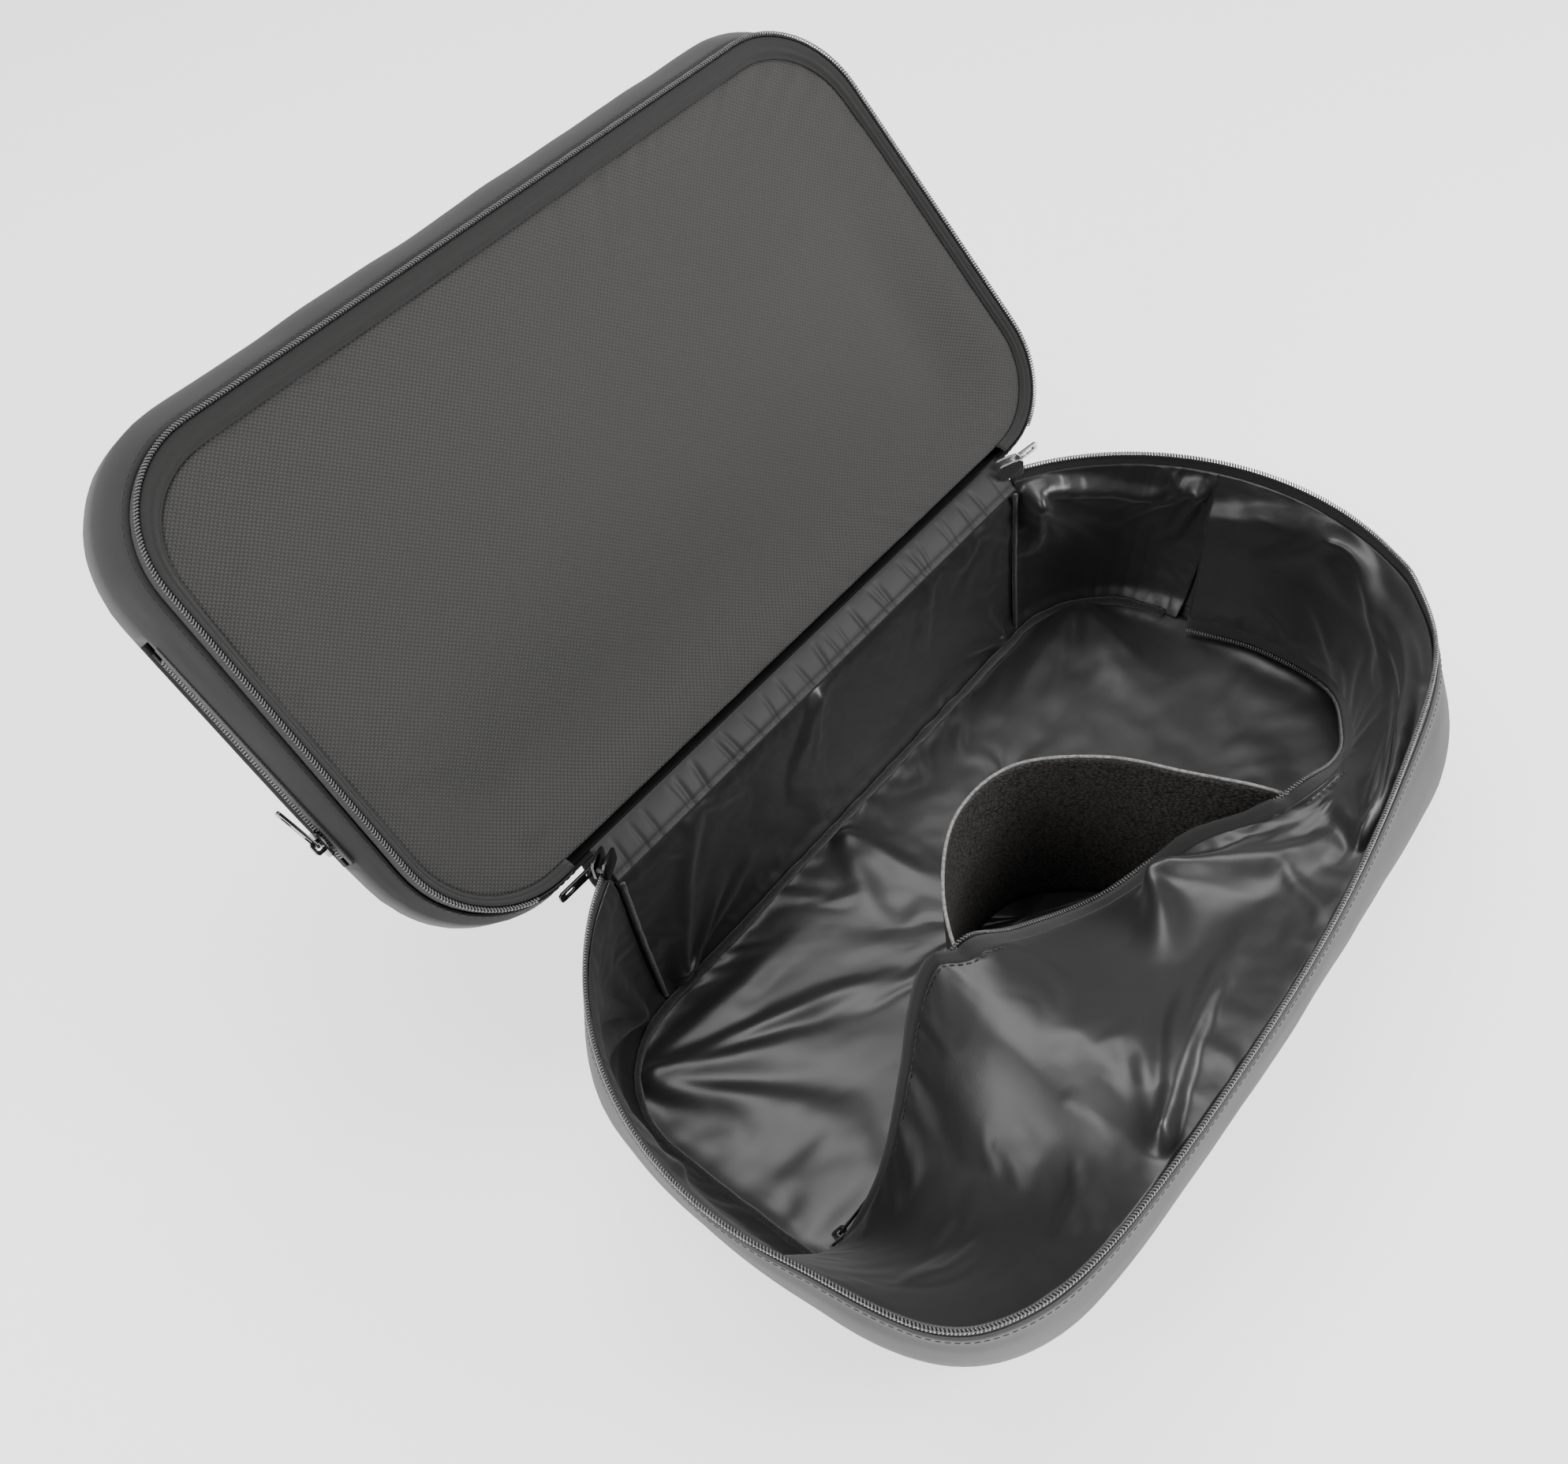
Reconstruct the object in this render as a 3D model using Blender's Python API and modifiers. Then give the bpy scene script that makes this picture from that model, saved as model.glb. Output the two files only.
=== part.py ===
"""Golf shoe bag, lying open: a deep soft tray, and a zipped lid compartment hinged to it.

Metres, +Z up. The origin is on the floor under the middle of the tray. +X runs along the hinge
to the far end, -Y is the front, and the lid stands up behind the hinge at +Y.
"""
import math

import bmesh
import bpy
from mathutils import Matrix, Vector

# ---------------------------------------------------------------- driving dimensions
TRAY_HEIGHT = 0.100             # rim of the tray above the floor
WALL_TOP = 0.092                # top edge of the neoprene wall, below the zip tape
WALL_FOOT = 0.014               # seam between the wall and the bottom panel
NEOPRENE = 0.003
SATIN = 0.0008
TAPE = 0.0007
GAP = 0.0004                    # clearance between neighbouring layers

HINGE_END = 0.135               # sliders stand at x = -HINGE_END and +HINGE_END
HINGE_WALL_Y = 0.107            # outer face of the wall under the hinge
HINGE_AXIS = Vector((0.0, 0.109, 0.103))
LID_OPEN_ANGLE = math.radians(130)

NEAR_ARC_CENTRE = Vector((-0.0750, -0.0220))   # the rim's near end is an arc
NEAR_ARC_END = math.radians(192)
FAR_ARC_CENTRE = Vector((0.0662, 0.0039))      # and so is its far end
FAR_ARC_START = math.radians(-40)
FRONT_RIM = ((-0.206, -0.097), (-0.186, -0.118), (-0.150, -0.128), (-0.080, -0.130),
             (0.000, -0.126), (0.080, -0.113), (0.130, -0.099))

BASE_LOW = Vector((-0.188, -0.108))
BASE_HIGH = Vector((0.180, 0.106))
BASE_CORNER = 0.054
BASE_EDGE_RADIUS = 0.012
WALL_BULGE = 0.005
HINGE_WALL_BULGE = 0.0008

LID_LOW = Vector((-0.193, -0.216))             # lid outline, measured from the hinge axis
LID_HIGH = Vector((0.190, 0.0))
LID_CORNER = 0.045
LID_GUSSET_FOOT = 0.009
LID_DEPTH_HINGE = 0.026
LID_DEPTH_FRONT = 0.056
LID_BULGE = 0.009
LID_FACE_OUTSET = 0.003
LID_DOME = 0.006
LID_PANEL_Z = 0.0068           # clears the tops of the rim sliders when the lid is shut

COIL_RADIUS = 0.00125
COIL_INSET = 0.0020
RIM_COIL_Z = TRAY_HEIGHT + 0.0009
LID_COIL_Z = 0.0022

SLIDER_LENGTH = 0.011
SLIDER_WIDTH = 0.009
SLIDER_PLATE = 0.0011
SLIDER_SPACE = 0.0034
SLIDER_LIFT = 0.0027            # slider centre above the rim coil
LINING_SLIDER_LIFT = 0.0019
RIM_LUG_DROP = 0.0023          # keeps the rim pulls under the closed lid's coil
PULL_LENGTH = 0.020
PULL_WIDTH = 0.0046
PULL_THICKNESS = 0.0011
PULL_REST_ANGLE = math.radians(25)   # pull tabs stand off the wall by this angle

DIVIDER_PLAN = ((0.049, -0.091), (0.040, -0.080), (0.029, -0.050), (0.018, -0.018), (-0.005, 0.009),
                (-0.036, 0.013), (-0.066, -0.002), (-0.089, -0.026), (-0.105, -0.058), (-0.113, -0.088))
DIVIDER_TOP = 0.095
DIVIDER_FOOT = 0.0078
DIVIDER_CORNER = 0.030
DIVIDER_THICKNESS = 0.0016

# Loose edge of the front lining, from the far end to the near end: x, y, z and the place along the
# rim (0 near slider, 1 far slider) from which the cloth falls to it.
LOOSE_EDGE = ((0.166, 0.030, 0.0125, 0.885), (0.171, -0.005, 0.014, 0.846), (0.160, -0.045, 0.020, 0.800),
              (0.114, -0.072, 0.050, 0.733), (0.075, -0.085, 0.080, 0.667), (0.045, -0.086, 0.099, 0.610),
              (0.026, -0.074, 0.088, 0.579), (0.008, -0.054, 0.075, 0.542), (-0.022, -0.040, 0.066, 0.500),
              (-0.060, -0.029, 0.082, 0.455), (-0.086, -0.024, 0.1005, 0.425), (-0.097, -0.014, 0.062, 0.398),
              (-0.111, -0.017, 0.030, 0.371), (-0.126, -0.024, 0.0125, 0.341), (-0.152, -0.032, 0.0140, 0.290),
              (-0.178, -0.028, 0.0145, 0.222))

OPEN_STEPS = 48                 # divisions of the rim between the sliders
HINGE_STEPS = 8                 # divisions of the straight side between the sliders

# ---------------------------------------------------------------- scene and materials
for old in list(bpy.data.objects):
    bpy.data.objects.remove(old, do_unlink=True)

BAG = bpy.data.collections.new("golf_shoe_bag")
CUTTERS = bpy.data.collections.new("cutters")
for group in (BAG, CUTTERS):
    bpy.context.scene.collection.children.link(group)


def material(name, colour, roughness, metallic=0.0):
    mat = bpy.data.materials.new(name)
    mat.use_nodes = True
    shader = mat.node_tree.nodes["Principled BSDF"]
    shader.inputs["Base Color"].default_value = (*colour, 1.0)
    shader.inputs["Roughness"].default_value = roughness
    shader.inputs["Metallic"].default_value = metallic
    return mat


FINISHES = {
    "neoprene": ((0.030, 0.030, 0.031), 0.85, 0.0),
    "satin": ((0.022, 0.022, 0.022), 0.35, 0.0),
    "woven": ((0.034, 0.030, 0.030), 0.75, 0.0),
    "tape": ((0.020, 0.020, 0.020), 0.80, 0.0),
    "coil": ((0.015, 0.015, 0.016), 0.35, 0.0),
    "leatherette": ((0.035, 0.032, 0.030), 0.55, 0.0),
    "board": ((0.050, 0.050, 0.050), 0.60, 0.0),
    "bright_metal": ((0.45, 0.45, 0.45), 0.30, 1.0),
    "black_metal": ((0.020, 0.020, 0.022), 0.25, 1.0),
    "webbing": ((0.022, 0.022, 0.023), 0.80, 0.0),
}


def finish(obj, kind):
    """Give a piece a material of its own."""
    obj.data.materials.clear()
    obj.data.materials.append(material(f"{obj.name}_{kind}", *FINISHES[kind]))


# ---------------------------------------------------------------- curves in plan
def catmull_rom(points, steps=8):
    """Open smooth curve through the points."""
    knots = [Vector(p) for p in points]
    knots = [knots[0] * 2 - knots[1], *knots, knots[-1] * 2 - knots[-2]]
    curve = []
    for a, b, c, d in zip(knots, knots[1:], knots[2:], knots[3:]):
        for step in range(steps):
            t = step / steps
            curve.append(0.5 * (2 * b + (c - a) * t + (2 * a - 5 * b + 4 * c - d) * t ** 2
                                + (3 * b - a - 3 * c + d) * t ** 3))
    return curve + [knots[-2]]


def arc(centre, radius, start, end, steps):
    """Points on an arc, both ends included."""
    angles = [start + (end - start) * i / steps for i in range(steps + 1)]
    return [centre + radius * Vector((math.cos(a), math.sin(a))) for a in angles]


class Polyline:
    """A polyline read by the fraction of its length."""

    def __init__(self, points):
        self.points = [Vector(p) for p in points]
        self.reach = [0.0]
        for a, b in zip(self.points, self.points[1:]):
            self.reach.append(self.reach[-1] + (b - a).length)

    def at(self, fraction):
        goal = min(max(fraction, 0.0), 1.0) * self.reach[-1]
        for i in range(1, len(self.points)):
            if goal <= self.reach[i] or i == len(self.points) - 1:
                span = self.reach[i] - self.reach[i - 1]
                return self.points[i - 1].lerp(self.points[i], (goal - self.reach[i - 1]) / span)


def rounded_rectangle(low, high, radius, first_x, last_x):
    """Rounded rectangle, counterclockwise from (first_x, high.y) round the front to (last_x, high.y)."""
    points = [Vector((first_x, high.y))]
    corners = ((low.x + radius, high.y - radius, 90), (low.x + radius, low.y + radius, 180),
               (high.x - radius, low.y + radius, 270), (high.x - radius, high.y - radius, 360))
    for x, y, start in corners:
        points += arc(Vector((x, y)), radius, math.radians(start), math.radians(start + 90), 12)
    points.append(Vector((last_x, high.y)))
    return [p for i, p in enumerate(points) if i == 0 or (p - points[i - 1]).length > 1e-6]


def closed_pair(front_points, high_y, first_x, last_x):
    """The way round the front, and the straight side along the hinge back to its start."""
    straight = [Vector((last_x, high_y)), Vector((first_x, high_y))]
    return Polyline(front_points), Polyline(straight)


def angle_of(centre, x, y):
    return math.atan2(y - centre.y, x - centre.x)


NEAR_ARC_START = angle_of(NEAR_ARC_CENTRE, -HINGE_END, HINGE_WALL_Y)
NEAR_ARC_RADIUS = (Vector((-HINGE_END, HINGE_WALL_Y)) - NEAR_ARC_CENTRE).length
FAR_ARC_END = angle_of(FAR_ARC_CENTRE, HINGE_END, HINGE_WALL_Y)
FAR_ARC_RADIUS = (Vector((HINGE_END, HINGE_WALL_Y)) - FAR_ARC_CENTRE).length

rim_knots = arc(NEAR_ARC_CENTRE, NEAR_ARC_RADIUS, NEAR_ARC_START, NEAR_ARC_END, 9)
rim_knots += [Vector(p) for p in FRONT_RIM]
rim_knots += arc(FAR_ARC_CENTRE, FAR_ARC_RADIUS, FAR_ARC_START, FAR_ARC_END, 10)
MOUTH = closed_pair(catmull_rom(rim_knots), HINGE_WALL_Y, -HINGE_END, HINGE_END)
BASE = closed_pair(rounded_rectangle(BASE_LOW, BASE_HIGH, BASE_CORNER, -0.130, 0.124),
                   BASE_HIGH.y, -0.130, 0.124)
LID = closed_pair(rounded_rectangle(LID_LOW, LID_HIGH, LID_CORNER, -0.140, 0.140),
                  LID_HIGH.y, -0.140, 0.140)


def on_pair(pair, place):
    """Plan point at place: 0 to 1 round the front, 1 to 2 back along the hinge side."""
    place = place % 2.0
    return pair[0].at(place) if place <= 1.0 else pair[1].at(place - 1.0)


def outward(read, place, span=0.004):
    """Outward direction in plan of a closed outline given by read(place)."""
    run = read(place + span) - read(place - span)
    return Vector((run.y, -run.x)).normalized()


def near_hinge(place, blend=0.05):
    """1 along the hinge side, falling to 0 within blend of it."""
    place = place % 2.0
    if place >= 1.0:
        return 1.0
    edge = min(place, 1.0 - place) / blend
    return max(0.0, 1.0 - edge) ** 2


def tray_point(place, z, inset=0.0):
    """Point inset from the outer face of the tray wall, at height z."""
    h = z / TRAY_HEIGHT
    bulge = WALL_BULGE + (HINGE_WALL_BULGE - WALL_BULGE) * near_hinge(place)
    swell = bulge * math.sin(math.pi * min(max(h, 0.0), 1.0)) ** 2
    tuck = 0.0
    if z < BASE_EDGE_RADIUS:
        tuck = BASE_EDGE_RADIUS - math.sqrt(BASE_EDGE_RADIUS ** 2 - (BASE_EDGE_RADIUS - z) ** 2)

    def read(s):
        return on_pair(BASE, s).lerp(on_pair(MOUTH, s), h)

    plan = read(place) + outward(read, place) * (swell - tuck - inset)
    return Vector((plan.x, plan.y, z))


def lid_depth(y):
    """Depth of the lid at y, from the rim plane to the outer face."""
    share = min(max(-y / -LID_LOW.y, 0.0), 1.0)
    return LID_DEPTH_HINGE + (LID_DEPTH_FRONT - LID_DEPTH_HINGE) * share


def lid_point(place, f, inset=0.0):
    """Point inset from the gusset's outer face; f is 0 at its foot and 1 at the outer face's edge."""
    plan = on_pair(LID, place)
    share = 1.0 - near_hinge(place, 0.15)
    swell = share * (LID_BULGE * math.sin(math.pi * min(max(f, 0.0), 1.0)) + LID_FACE_OUTSET * max(f, 0.0))
    way = outward(lambda s: on_pair(LID, s), place)
    spot = plan + way * (swell - inset)
    return Vector((spot.x, spot.y, LID_GUSSET_FOOT + f * (lid_depth(plan.y) - LID_GUSSET_FOOT)))


def ring_places():
    """Places all round a closed outline."""
    front = [i / OPEN_STEPS for i in range(OPEN_STEPS)]
    return front + [1.0 + i / HINGE_STEPS for i in range(HINGE_STEPS)]


def places(start, end, steps):
    return [start + (end - start) * i / steps for i in range(steps + 1)]


# ---------------------------------------------------------------- building tools
def add_mesh(name, mesh, kind, parent=None, collection=BAG):
    obj = bpy.data.objects.new(name, mesh)
    collection.objects.link(obj)
    obj.parent = parent
    if kind:
        finish(obj, kind)
    return obj


def sheet(name, rows, thickness, kind, parent=None, ring=False, offset=-1.0):
    """A sheet through rows of points, thickened by Solidify away from its outward side."""
    columns = len(rows[0])
    vertices = [tuple(p) for row in rows for p in row]
    faces = []
    for i in range(len(rows) - 1):
        for k in range(columns if ring else columns - 1):
            n = (k + 1) % columns
            faces.append((i * columns + k, i * columns + n, (i + 1) * columns + n, (i + 1) * columns + k))
    mesh = bpy.data.meshes.new(name)
    mesh.from_pydata(vertices, [], faces)
    obj = add_mesh(name, mesh, kind, parent)
    thicken(obj, thickness, offset)
    mesh.shade_smooth()
    return obj


def thicken(obj, thickness, offset=-1.0):
    solid = obj.modifiers.new("thickness", "SOLIDIFY")
    solid.thickness = thickness
    solid.offset = offset
    solid.use_even_offset = False


def disc(name, rings, centre, thickness, kind, parent=None, up=True):
    """A sheet closed by a fan, from an outer ring through smaller ones to the centre."""
    count = len(rings[0])
    vertices = [tuple(p) for ring in rings for p in ring] + [tuple(centre)]
    faces = []
    for i in range(len(rings) - 1):
        for k in range(count):
            n = (k + 1) % count
            faces.append((i * count + k, i * count + n, (i + 1) * count + n, (i + 1) * count + k))
    last = (len(rings) - 1) * count
    for k in range(count):
        faces.append((last + k, last + (k + 1) % count, len(vertices) - 1))
    if not up:
        faces = [tuple(reversed(face)) for face in faces]
    mesh = bpy.data.meshes.new(name)
    mesh.from_pydata(vertices, [], faces)
    obj = add_mesh(name, mesh, kind, parent)
    thicken(obj, thickness)
    mesh.shade_smooth()
    return obj


def tube(name, points, radius, kind, parent=None, cyclic=False):
    """A round cord along the points."""
    curve = bpy.data.curves.new(name, "CURVE")
    curve.dimensions = "3D"
    curve.bevel_depth = radius
    curve.bevel_resolution = 1
    curve.use_fill_caps = not cyclic
    line = curve.splines.new("POLY")
    line.points.add(len(points) - 1)
    for knot, spot in zip(line.points, points):
        knot.co = (*spot, 1.0)
    line.use_cyclic_u = cyclic
    obj = bpy.data.objects.new(name, curve)
    BAG.objects.link(obj)
    obj.parent = parent
    finish(obj, kind)
    return obj


def outline_mesh(outlines, half_thickness):
    """Mesh of a flat outline, with any holes, extruded along its local Z."""
    curve = bpy.data.curves.new("outline", "CURVE")
    curve.dimensions = "2D"
    curve.fill_mode = "BOTH"
    curve.extrude = half_thickness
    for outline in outlines:
        line = curve.splines.new("POLY")
        line.points.add(len(outline) - 1)
        for knot, (x, y) in zip(line.points, outline):
            knot.co = (x, y, 0.0, 1.0)
        line.use_cyclic_u = True
    obj = bpy.data.objects.new("outline", curve)
    CUTTERS.objects.link(obj)
    mesh = bpy.data.meshes.new_from_object(obj.evaluated_get(bpy.context.evaluated_depsgraph_get()))
    bpy.data.objects.remove(obj, do_unlink=True)
    shape = bmesh.new()
    shape.from_mesh(mesh)
    bmesh.ops.remove_doubles(shape, verts=shape.verts, dist=0.00001)
    bmesh.ops.recalc_face_normals(shape, faces=shape.faces)
    shape.to_mesh(mesh)
    shape.free()
    return mesh


def round_box(length, width, radius, steps=4, centre=(0.0, 0.0)):
    """Outline of a rectangle with rounded corners, length along X."""
    x = length / 2 - radius
    y = width / 2 - radius
    middle = Vector(centre)
    points = []
    for cx, cy, start in ((x, y, 0), (-x, y, 90), (-x, -y, 180), (x, -y, 270)):
        points += arc(middle + Vector((cx, cy)), radius, math.radians(start),
                      math.radians(start + 90), steps)
    return points


def joined(meshes):
    """One mesh: the Boolean union of the given ones."""
    first = bpy.data.objects.new("union", meshes[0])
    CUTTERS.objects.link(first)
    helpers = []
    for mesh in meshes[1:]:
        helper = bpy.data.objects.new("union_part", mesh)
        CUTTERS.objects.link(helper)
        cut = first.modifiers.new("union", "BOOLEAN")
        cut.operation = "UNION"
        cut.solver = "EXACT"
        cut.object = helper
        helpers.append(helper)
    bpy.context.view_layer.update()
    result = bpy.data.meshes.new_from_object(first.evaluated_get(bpy.context.evaluated_depsgraph_get()))
    for obj in (first, *helpers):
        bpy.data.objects.remove(obj, do_unlink=True)
    return result


def placed(mesh, matrix):
    """A copy of the mesh, moved by the matrix."""
    copy = mesh.copy()
    copy.transform(matrix)
    return copy


def empty(name, location, rotation=(0.0, 0.0, 0.0), parent=None):
    obj = bpy.data.objects.new(name, None)
    BAG.objects.link(obj)
    obj.location = location
    obj.rotation_euler = rotation
    obj.parent = parent
    return obj


# ---------------------------------------------------------------- tray: shell and rim
def make_tray_shell():
    ring = ring_places()
    heights = places(WALL_FOOT, WALL_TOP, 6)
    wall = [[tray_point(s, z) for s in ring] for z in heights]
    sheet("tray_wall", wall, NEOPRENE, "neoprene", ring=True)

    edge = [WALL_FOOT - 0.0020, *(BASE_EDGE_RADIUS * part for part in (0.55, 0.2, 0.04)), 0.0]
    rings = [[tray_point(s, z) for s in ring] for z in edge]
    centre = Vector(((BASE_LOW.x + BASE_HIGH.x) / 2, (BASE_LOW.y + BASE_HIGH.y) / 2, 0.0))
    rings.append([p.lerp(centre, 0.5) for p in rings[-1]])
    disc("tray_bottom_panel", rings, centre, NEOPRENE, "neoprene", up=False)

    board = [tray_point(s, 0.0, 0.006) for s in ring]
    low = NEOPRENE + GAP
    plate = [[Vector((p.x, p.y, low + 0.0018)) for p in board]]
    disc("tray_base_board", plate, Vector((centre.x, centre.y, low + 0.0018)), 0.0018, "board")


def make_rim_zip():
    along = places(0.0, 1.0, OPEN_STEPS)
    levels = (WALL_TOP + GAP, WALL_TOP + 0.0035, RIM_COIL_Z - COIL_RADIUS - GAP)
    insets = (0.0012, 0.0016, COIL_INSET - TAPE / 2)
    tape = [[tray_point(s, z, inset) for s in along] for z, inset in zip(levels, insets)]
    sheet("tray_zip_tape", tape, TAPE, "tape")
    coil = [tray_point(s, RIM_COIL_Z, COIL_INSET) for s in places(0.0, 1.0, 84)]
    tube("tray_zip_coil", coil, COIL_RADIUS, "coil")


# ---------------------------------------------------------------- tray: lining
LINING_INSET = NEOPRENE + 0.0012
LINING_FOOT = 0.0095
LINING_TOP = 0.0905
FLOOR_Z = NEOPRENE + GAP + 0.0018 + GAP + SATIN


def lining_panel(name, start, end, steps):
    heights = places(LINING_FOOT, LINING_TOP, 4)
    rows = [[tray_point(s, z, LINING_INSET) for s in places(start, end, steps)] for z in heights]
    sheet(name, rows, SATIN, "satin")


def edge_rule(u):
    """Loose edge point and rim place for u from 0 at the far end to 1 at the near end."""
    spot = LOOSE_CURVE.at(u)
    return Vector(spot[:3]), spot[3]


def front_cloth_point(u, reach):
    """Point of the front lining: reach metres from its loose edge towards the rim."""
    edge, place = edge_rule(u)
    rim = tray_point(place, LINING_TOP, LINING_INSET)
    share = min(reach / (rim - edge).length, 1.0)
    spot = edge.lerp(rim, share)
    if share < 0.97:
        away = max(0.0, divider_distance(spot) - 0.008)
        spot.z = max(spot.z, divider_height_near(spot) + 0.0035 - away * 1.2)
    return spot


def divider_distance(spot):
    plan = Vector((spot.x, spot.y))
    return min((plan - p).length for p in DIVIDER_CURVE.points)


def divider_height(place):
    """Top edge of the divider; both its ends are rounded off."""
    end = min(place, 1.0 - place) * DIVIDER_CURVE.reach[-1]
    if end >= DIVIDER_CORNER:
        return DIVIDER_TOP
    drop = DIVIDER_CORNER - math.sqrt(DIVIDER_CORNER ** 2 - (DIVIDER_CORNER - end) ** 2)
    return DIVIDER_TOP - drop * 0.55


def divider_height_near(spot):
    plan = Vector((spot.x, spot.y))
    nearest = min(range(len(DIVIDER_CURVE.points)), key=lambda i: (plan - DIVIDER_CURVE.points[i]).length)
    return divider_height(DIVIDER_CURVE.reach[nearest] / DIVIDER_CURVE.reach[-1])


DIVIDER_CURVE = Polyline(catmull_rom(DIVIDER_PLAN, 6))


class LooseEdge:
    """Smooth loose edge, read by its knots' order so that each knot keeps its place on the rim."""

    def __init__(self, knots, steps=6):
        self.curve = catmull_rom(knots, steps)

    def at(self, u):
        position = min(max(u, 0.0), 1.0) * (len(self.curve) - 1)
        i = min(int(position), len(self.curve) - 2)
        return self.curve[i].lerp(self.curve[i + 1], position - i)


LOOSE_CURVE = LooseEdge(LOOSE_EDGE)


def make_lining():
    ring = ring_places()
    outline = [tray_point(s, 0.006, 0.0085) for s in ring]
    floor = [[Vector((p.x, p.y, FLOOR_Z)) for p in outline]]
    disc("floor_lining", floor, Vector((-0.008, -0.001, FLOOR_Z)), SATIN, "satin")
    lining_panel("hinge_wall_lining", 1.004, 1.996, HINGE_STEPS)
    lining_panel("near_end_lining", 0.004, 0.205, 14)
    lining_panel("far_end_lining", 0.897, 0.996, 10)

    start = 0.0095
    rows = []
    for i in range(8):
        row = []
        for u in places(0.0, 1.0, 50):
            edge, place = edge_rule(u)
            full = (tray_point(place, LINING_TOP, LINING_INSET) - edge).length
            row.append(front_cloth_point(u, start + (full - start) * i / 7))
        rows.append(row)
    sheet("front_lining", rows, SATIN, "satin", offset=0.0)

    tape = [[front_cloth_point(u, reach) for u in places(0.0, 1.0, 50)] for reach in (0.0024, 0.0088)]
    sheet("lining_zip_tape", tape, TAPE, "tape", offset=0.0)
    coil = [edge_rule(u)[0] for u in places(0.0, 1.0, 75)]
    tube("lining_zip_coil", coil, COIL_RADIUS, "coil")

    half = [tray_point(s, 0.010, 0.0104) for s in places(0.36, 0.76, 20)]
    strip = [[Vector((p.x, p.y, FLOOR_Z + 0.0006 + TAPE)) for p in half],
             [Vector((p.x, p.y, FLOOR_Z + 0.0006 + TAPE)) for p in
              (tray_point(s, 0.010, 0.0070) for s in places(0.36, 0.76, 20))]]
    sheet("floor_zip_tape", list(reversed(strip)), TAPE, "tape", offset=-1.0)
    tube("floor_zip_coil", [tray_point(s, 0.0085, 0.0120) for s in places(0.36, 0.76, 24)],
         COIL_RADIUS * 0.9, "coil")


def make_bindings():
    seam = [tray_point(s, 0.0105, 0.0095) for s in places(0.895, 1.0, 10)]
    seam += [tray_point(s, 0.0105, 0.0095) for s in places(1.03, 1.97, 14)]
    seam += [tray_point(s, 0.0105, 0.0095) for s in places(2.0, 2.20, 16)]
    tube("floor_seam_binding", seam, 0.0016, "tape")
    for name, place in (("near_corner_binding", 0.0), ("far_corner_binding", 1.0)):
        line = [tray_point(place, z, 0.0085) for z in places(0.0135, 0.0890, 6)]
        tube(name, line, 0.0012, "tape")


def make_divider():
    rows = []
    for i in range(4):
        row = []
        for place in places(0.0, 1.0, 36):
            plan = DIVIDER_CURVE.at(place)
            top = divider_height(place)
            row.append(Vector((plan.x, plan.y, DIVIDER_FOOT + (top - DIVIDER_FOOT) * i / 3)))
        rows.append(row)
    sheet("divider_panel", rows, DIVIDER_THICKNESS, "leatherette", offset=0.0)


def make_hinge_strip():
    """Satin strip across the hinge inside, and the neoprene one behind it."""
    length = places(-HINGE_END + 0.009, HINGE_END - 0.009, 20)
    inner = [[Vector((x, y, z)) for x in reversed(length)]
             for y, z in ((0.1015, 0.0925), (0.1025, 0.0965), (0.1050, 0.0995), (0.1078, 0.1010))]
    sheet("hinge_strip", inner, SATIN, "satin", offset=0.0)
    outer = [[Vector((x, HINGE_WALL_Y + 0.0026, z)) for x in reversed(length)] for z in (0.082, 0.089, 0.096)]
    sheet("hinge_outer_panel", outer, 0.0015, "neoprene", offset=0.0)


# ---------------------------------------------------------------- lid
def make_lid(lid):
    ring = ring_places()
    slot_rows = (3, 4)
    rows = [[lid_point(s, f) for s in ring] for f in
            (0.0, 0.09, 0.17, 0.25, 0.50, 0.75, 0.82, 0.88)]
    gusset = sheet("lid_gusset", rows, NEOPRENE, "neoprene", parent=lid, ring=True)
    cut_slot(gusset, slot_rows, len(ring))

    edge = [lid_point(s, 1.0, 0.0038) for s in ring]
    middle = Vector(((LID_LOW.x + LID_HIGH.x) / 2, LID_LOW.y / 2, 0.0))
    rings = []
    for share in (0.0, 0.12, 0.3, 0.6):
        lift = LID_DOME * (1.0 - (1.0 - share) ** 2)
        rings.append([face_point(p, middle, share, lift) for p in edge])
    top = Vector((middle.x, middle.y, lid_depth(middle.y) + LID_DOME))
    disc("lid_face_panel", rings, top, NEOPRENE, "neoprene", parent=lid)
    piping = [lid_point(s, 1.0) for s in ring]
    tube("lid_piping", piping, 0.0015, "tape", parent=lid, cyclic=True)

    inner = [lid_point(s, 0.0, 0.0100) for s in ring]
    flat = [[Vector((p.x, p.y, LID_PANEL_Z)) for p in inner]]
    disc("lid_inner_panel", flat, Vector((middle.x, middle.y, LID_PANEL_Z)), 0.0010, "woven", parent=lid)

    along = places(0.048, 0.952, OPEN_STEPS)
    tape = [[flat_point(s, z, inset) for s in along] for z, inset in
            ((LID_COIL_Z + COIL_RADIUS + GAP, 0.0017), (0.0058, 0.0014), (LID_GUSSET_FOOT - GAP, 0.0010))]
    sheet("lid_zip_tape", tape, TAPE, "tape", parent=lid)
    coil = [flat_point(s, LID_COIL_Z, COIL_INSET) for s in places(0.048, 0.952, 84)]
    tube("lid_zip_coil", coil, COIL_RADIUS, "coil", parent=lid)


def face_point(p, middle, share, lift):
    x = p.x + (middle.x - p.x) * share
    y = p.y + (middle.y - p.y) * share
    return Vector((x, y, lid_depth(y) + lift))


def flat_point(place, z, inset):
    """Point on the lid's rim band at height z above the rim plane."""
    spot = lid_point(place, 0.0, inset)
    return Vector((spot.x, spot.y, z))


POCKET_START = 0.105            # places round the lid's outline at the ends of the pocket zip
POCKET_END = 0.232


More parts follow.
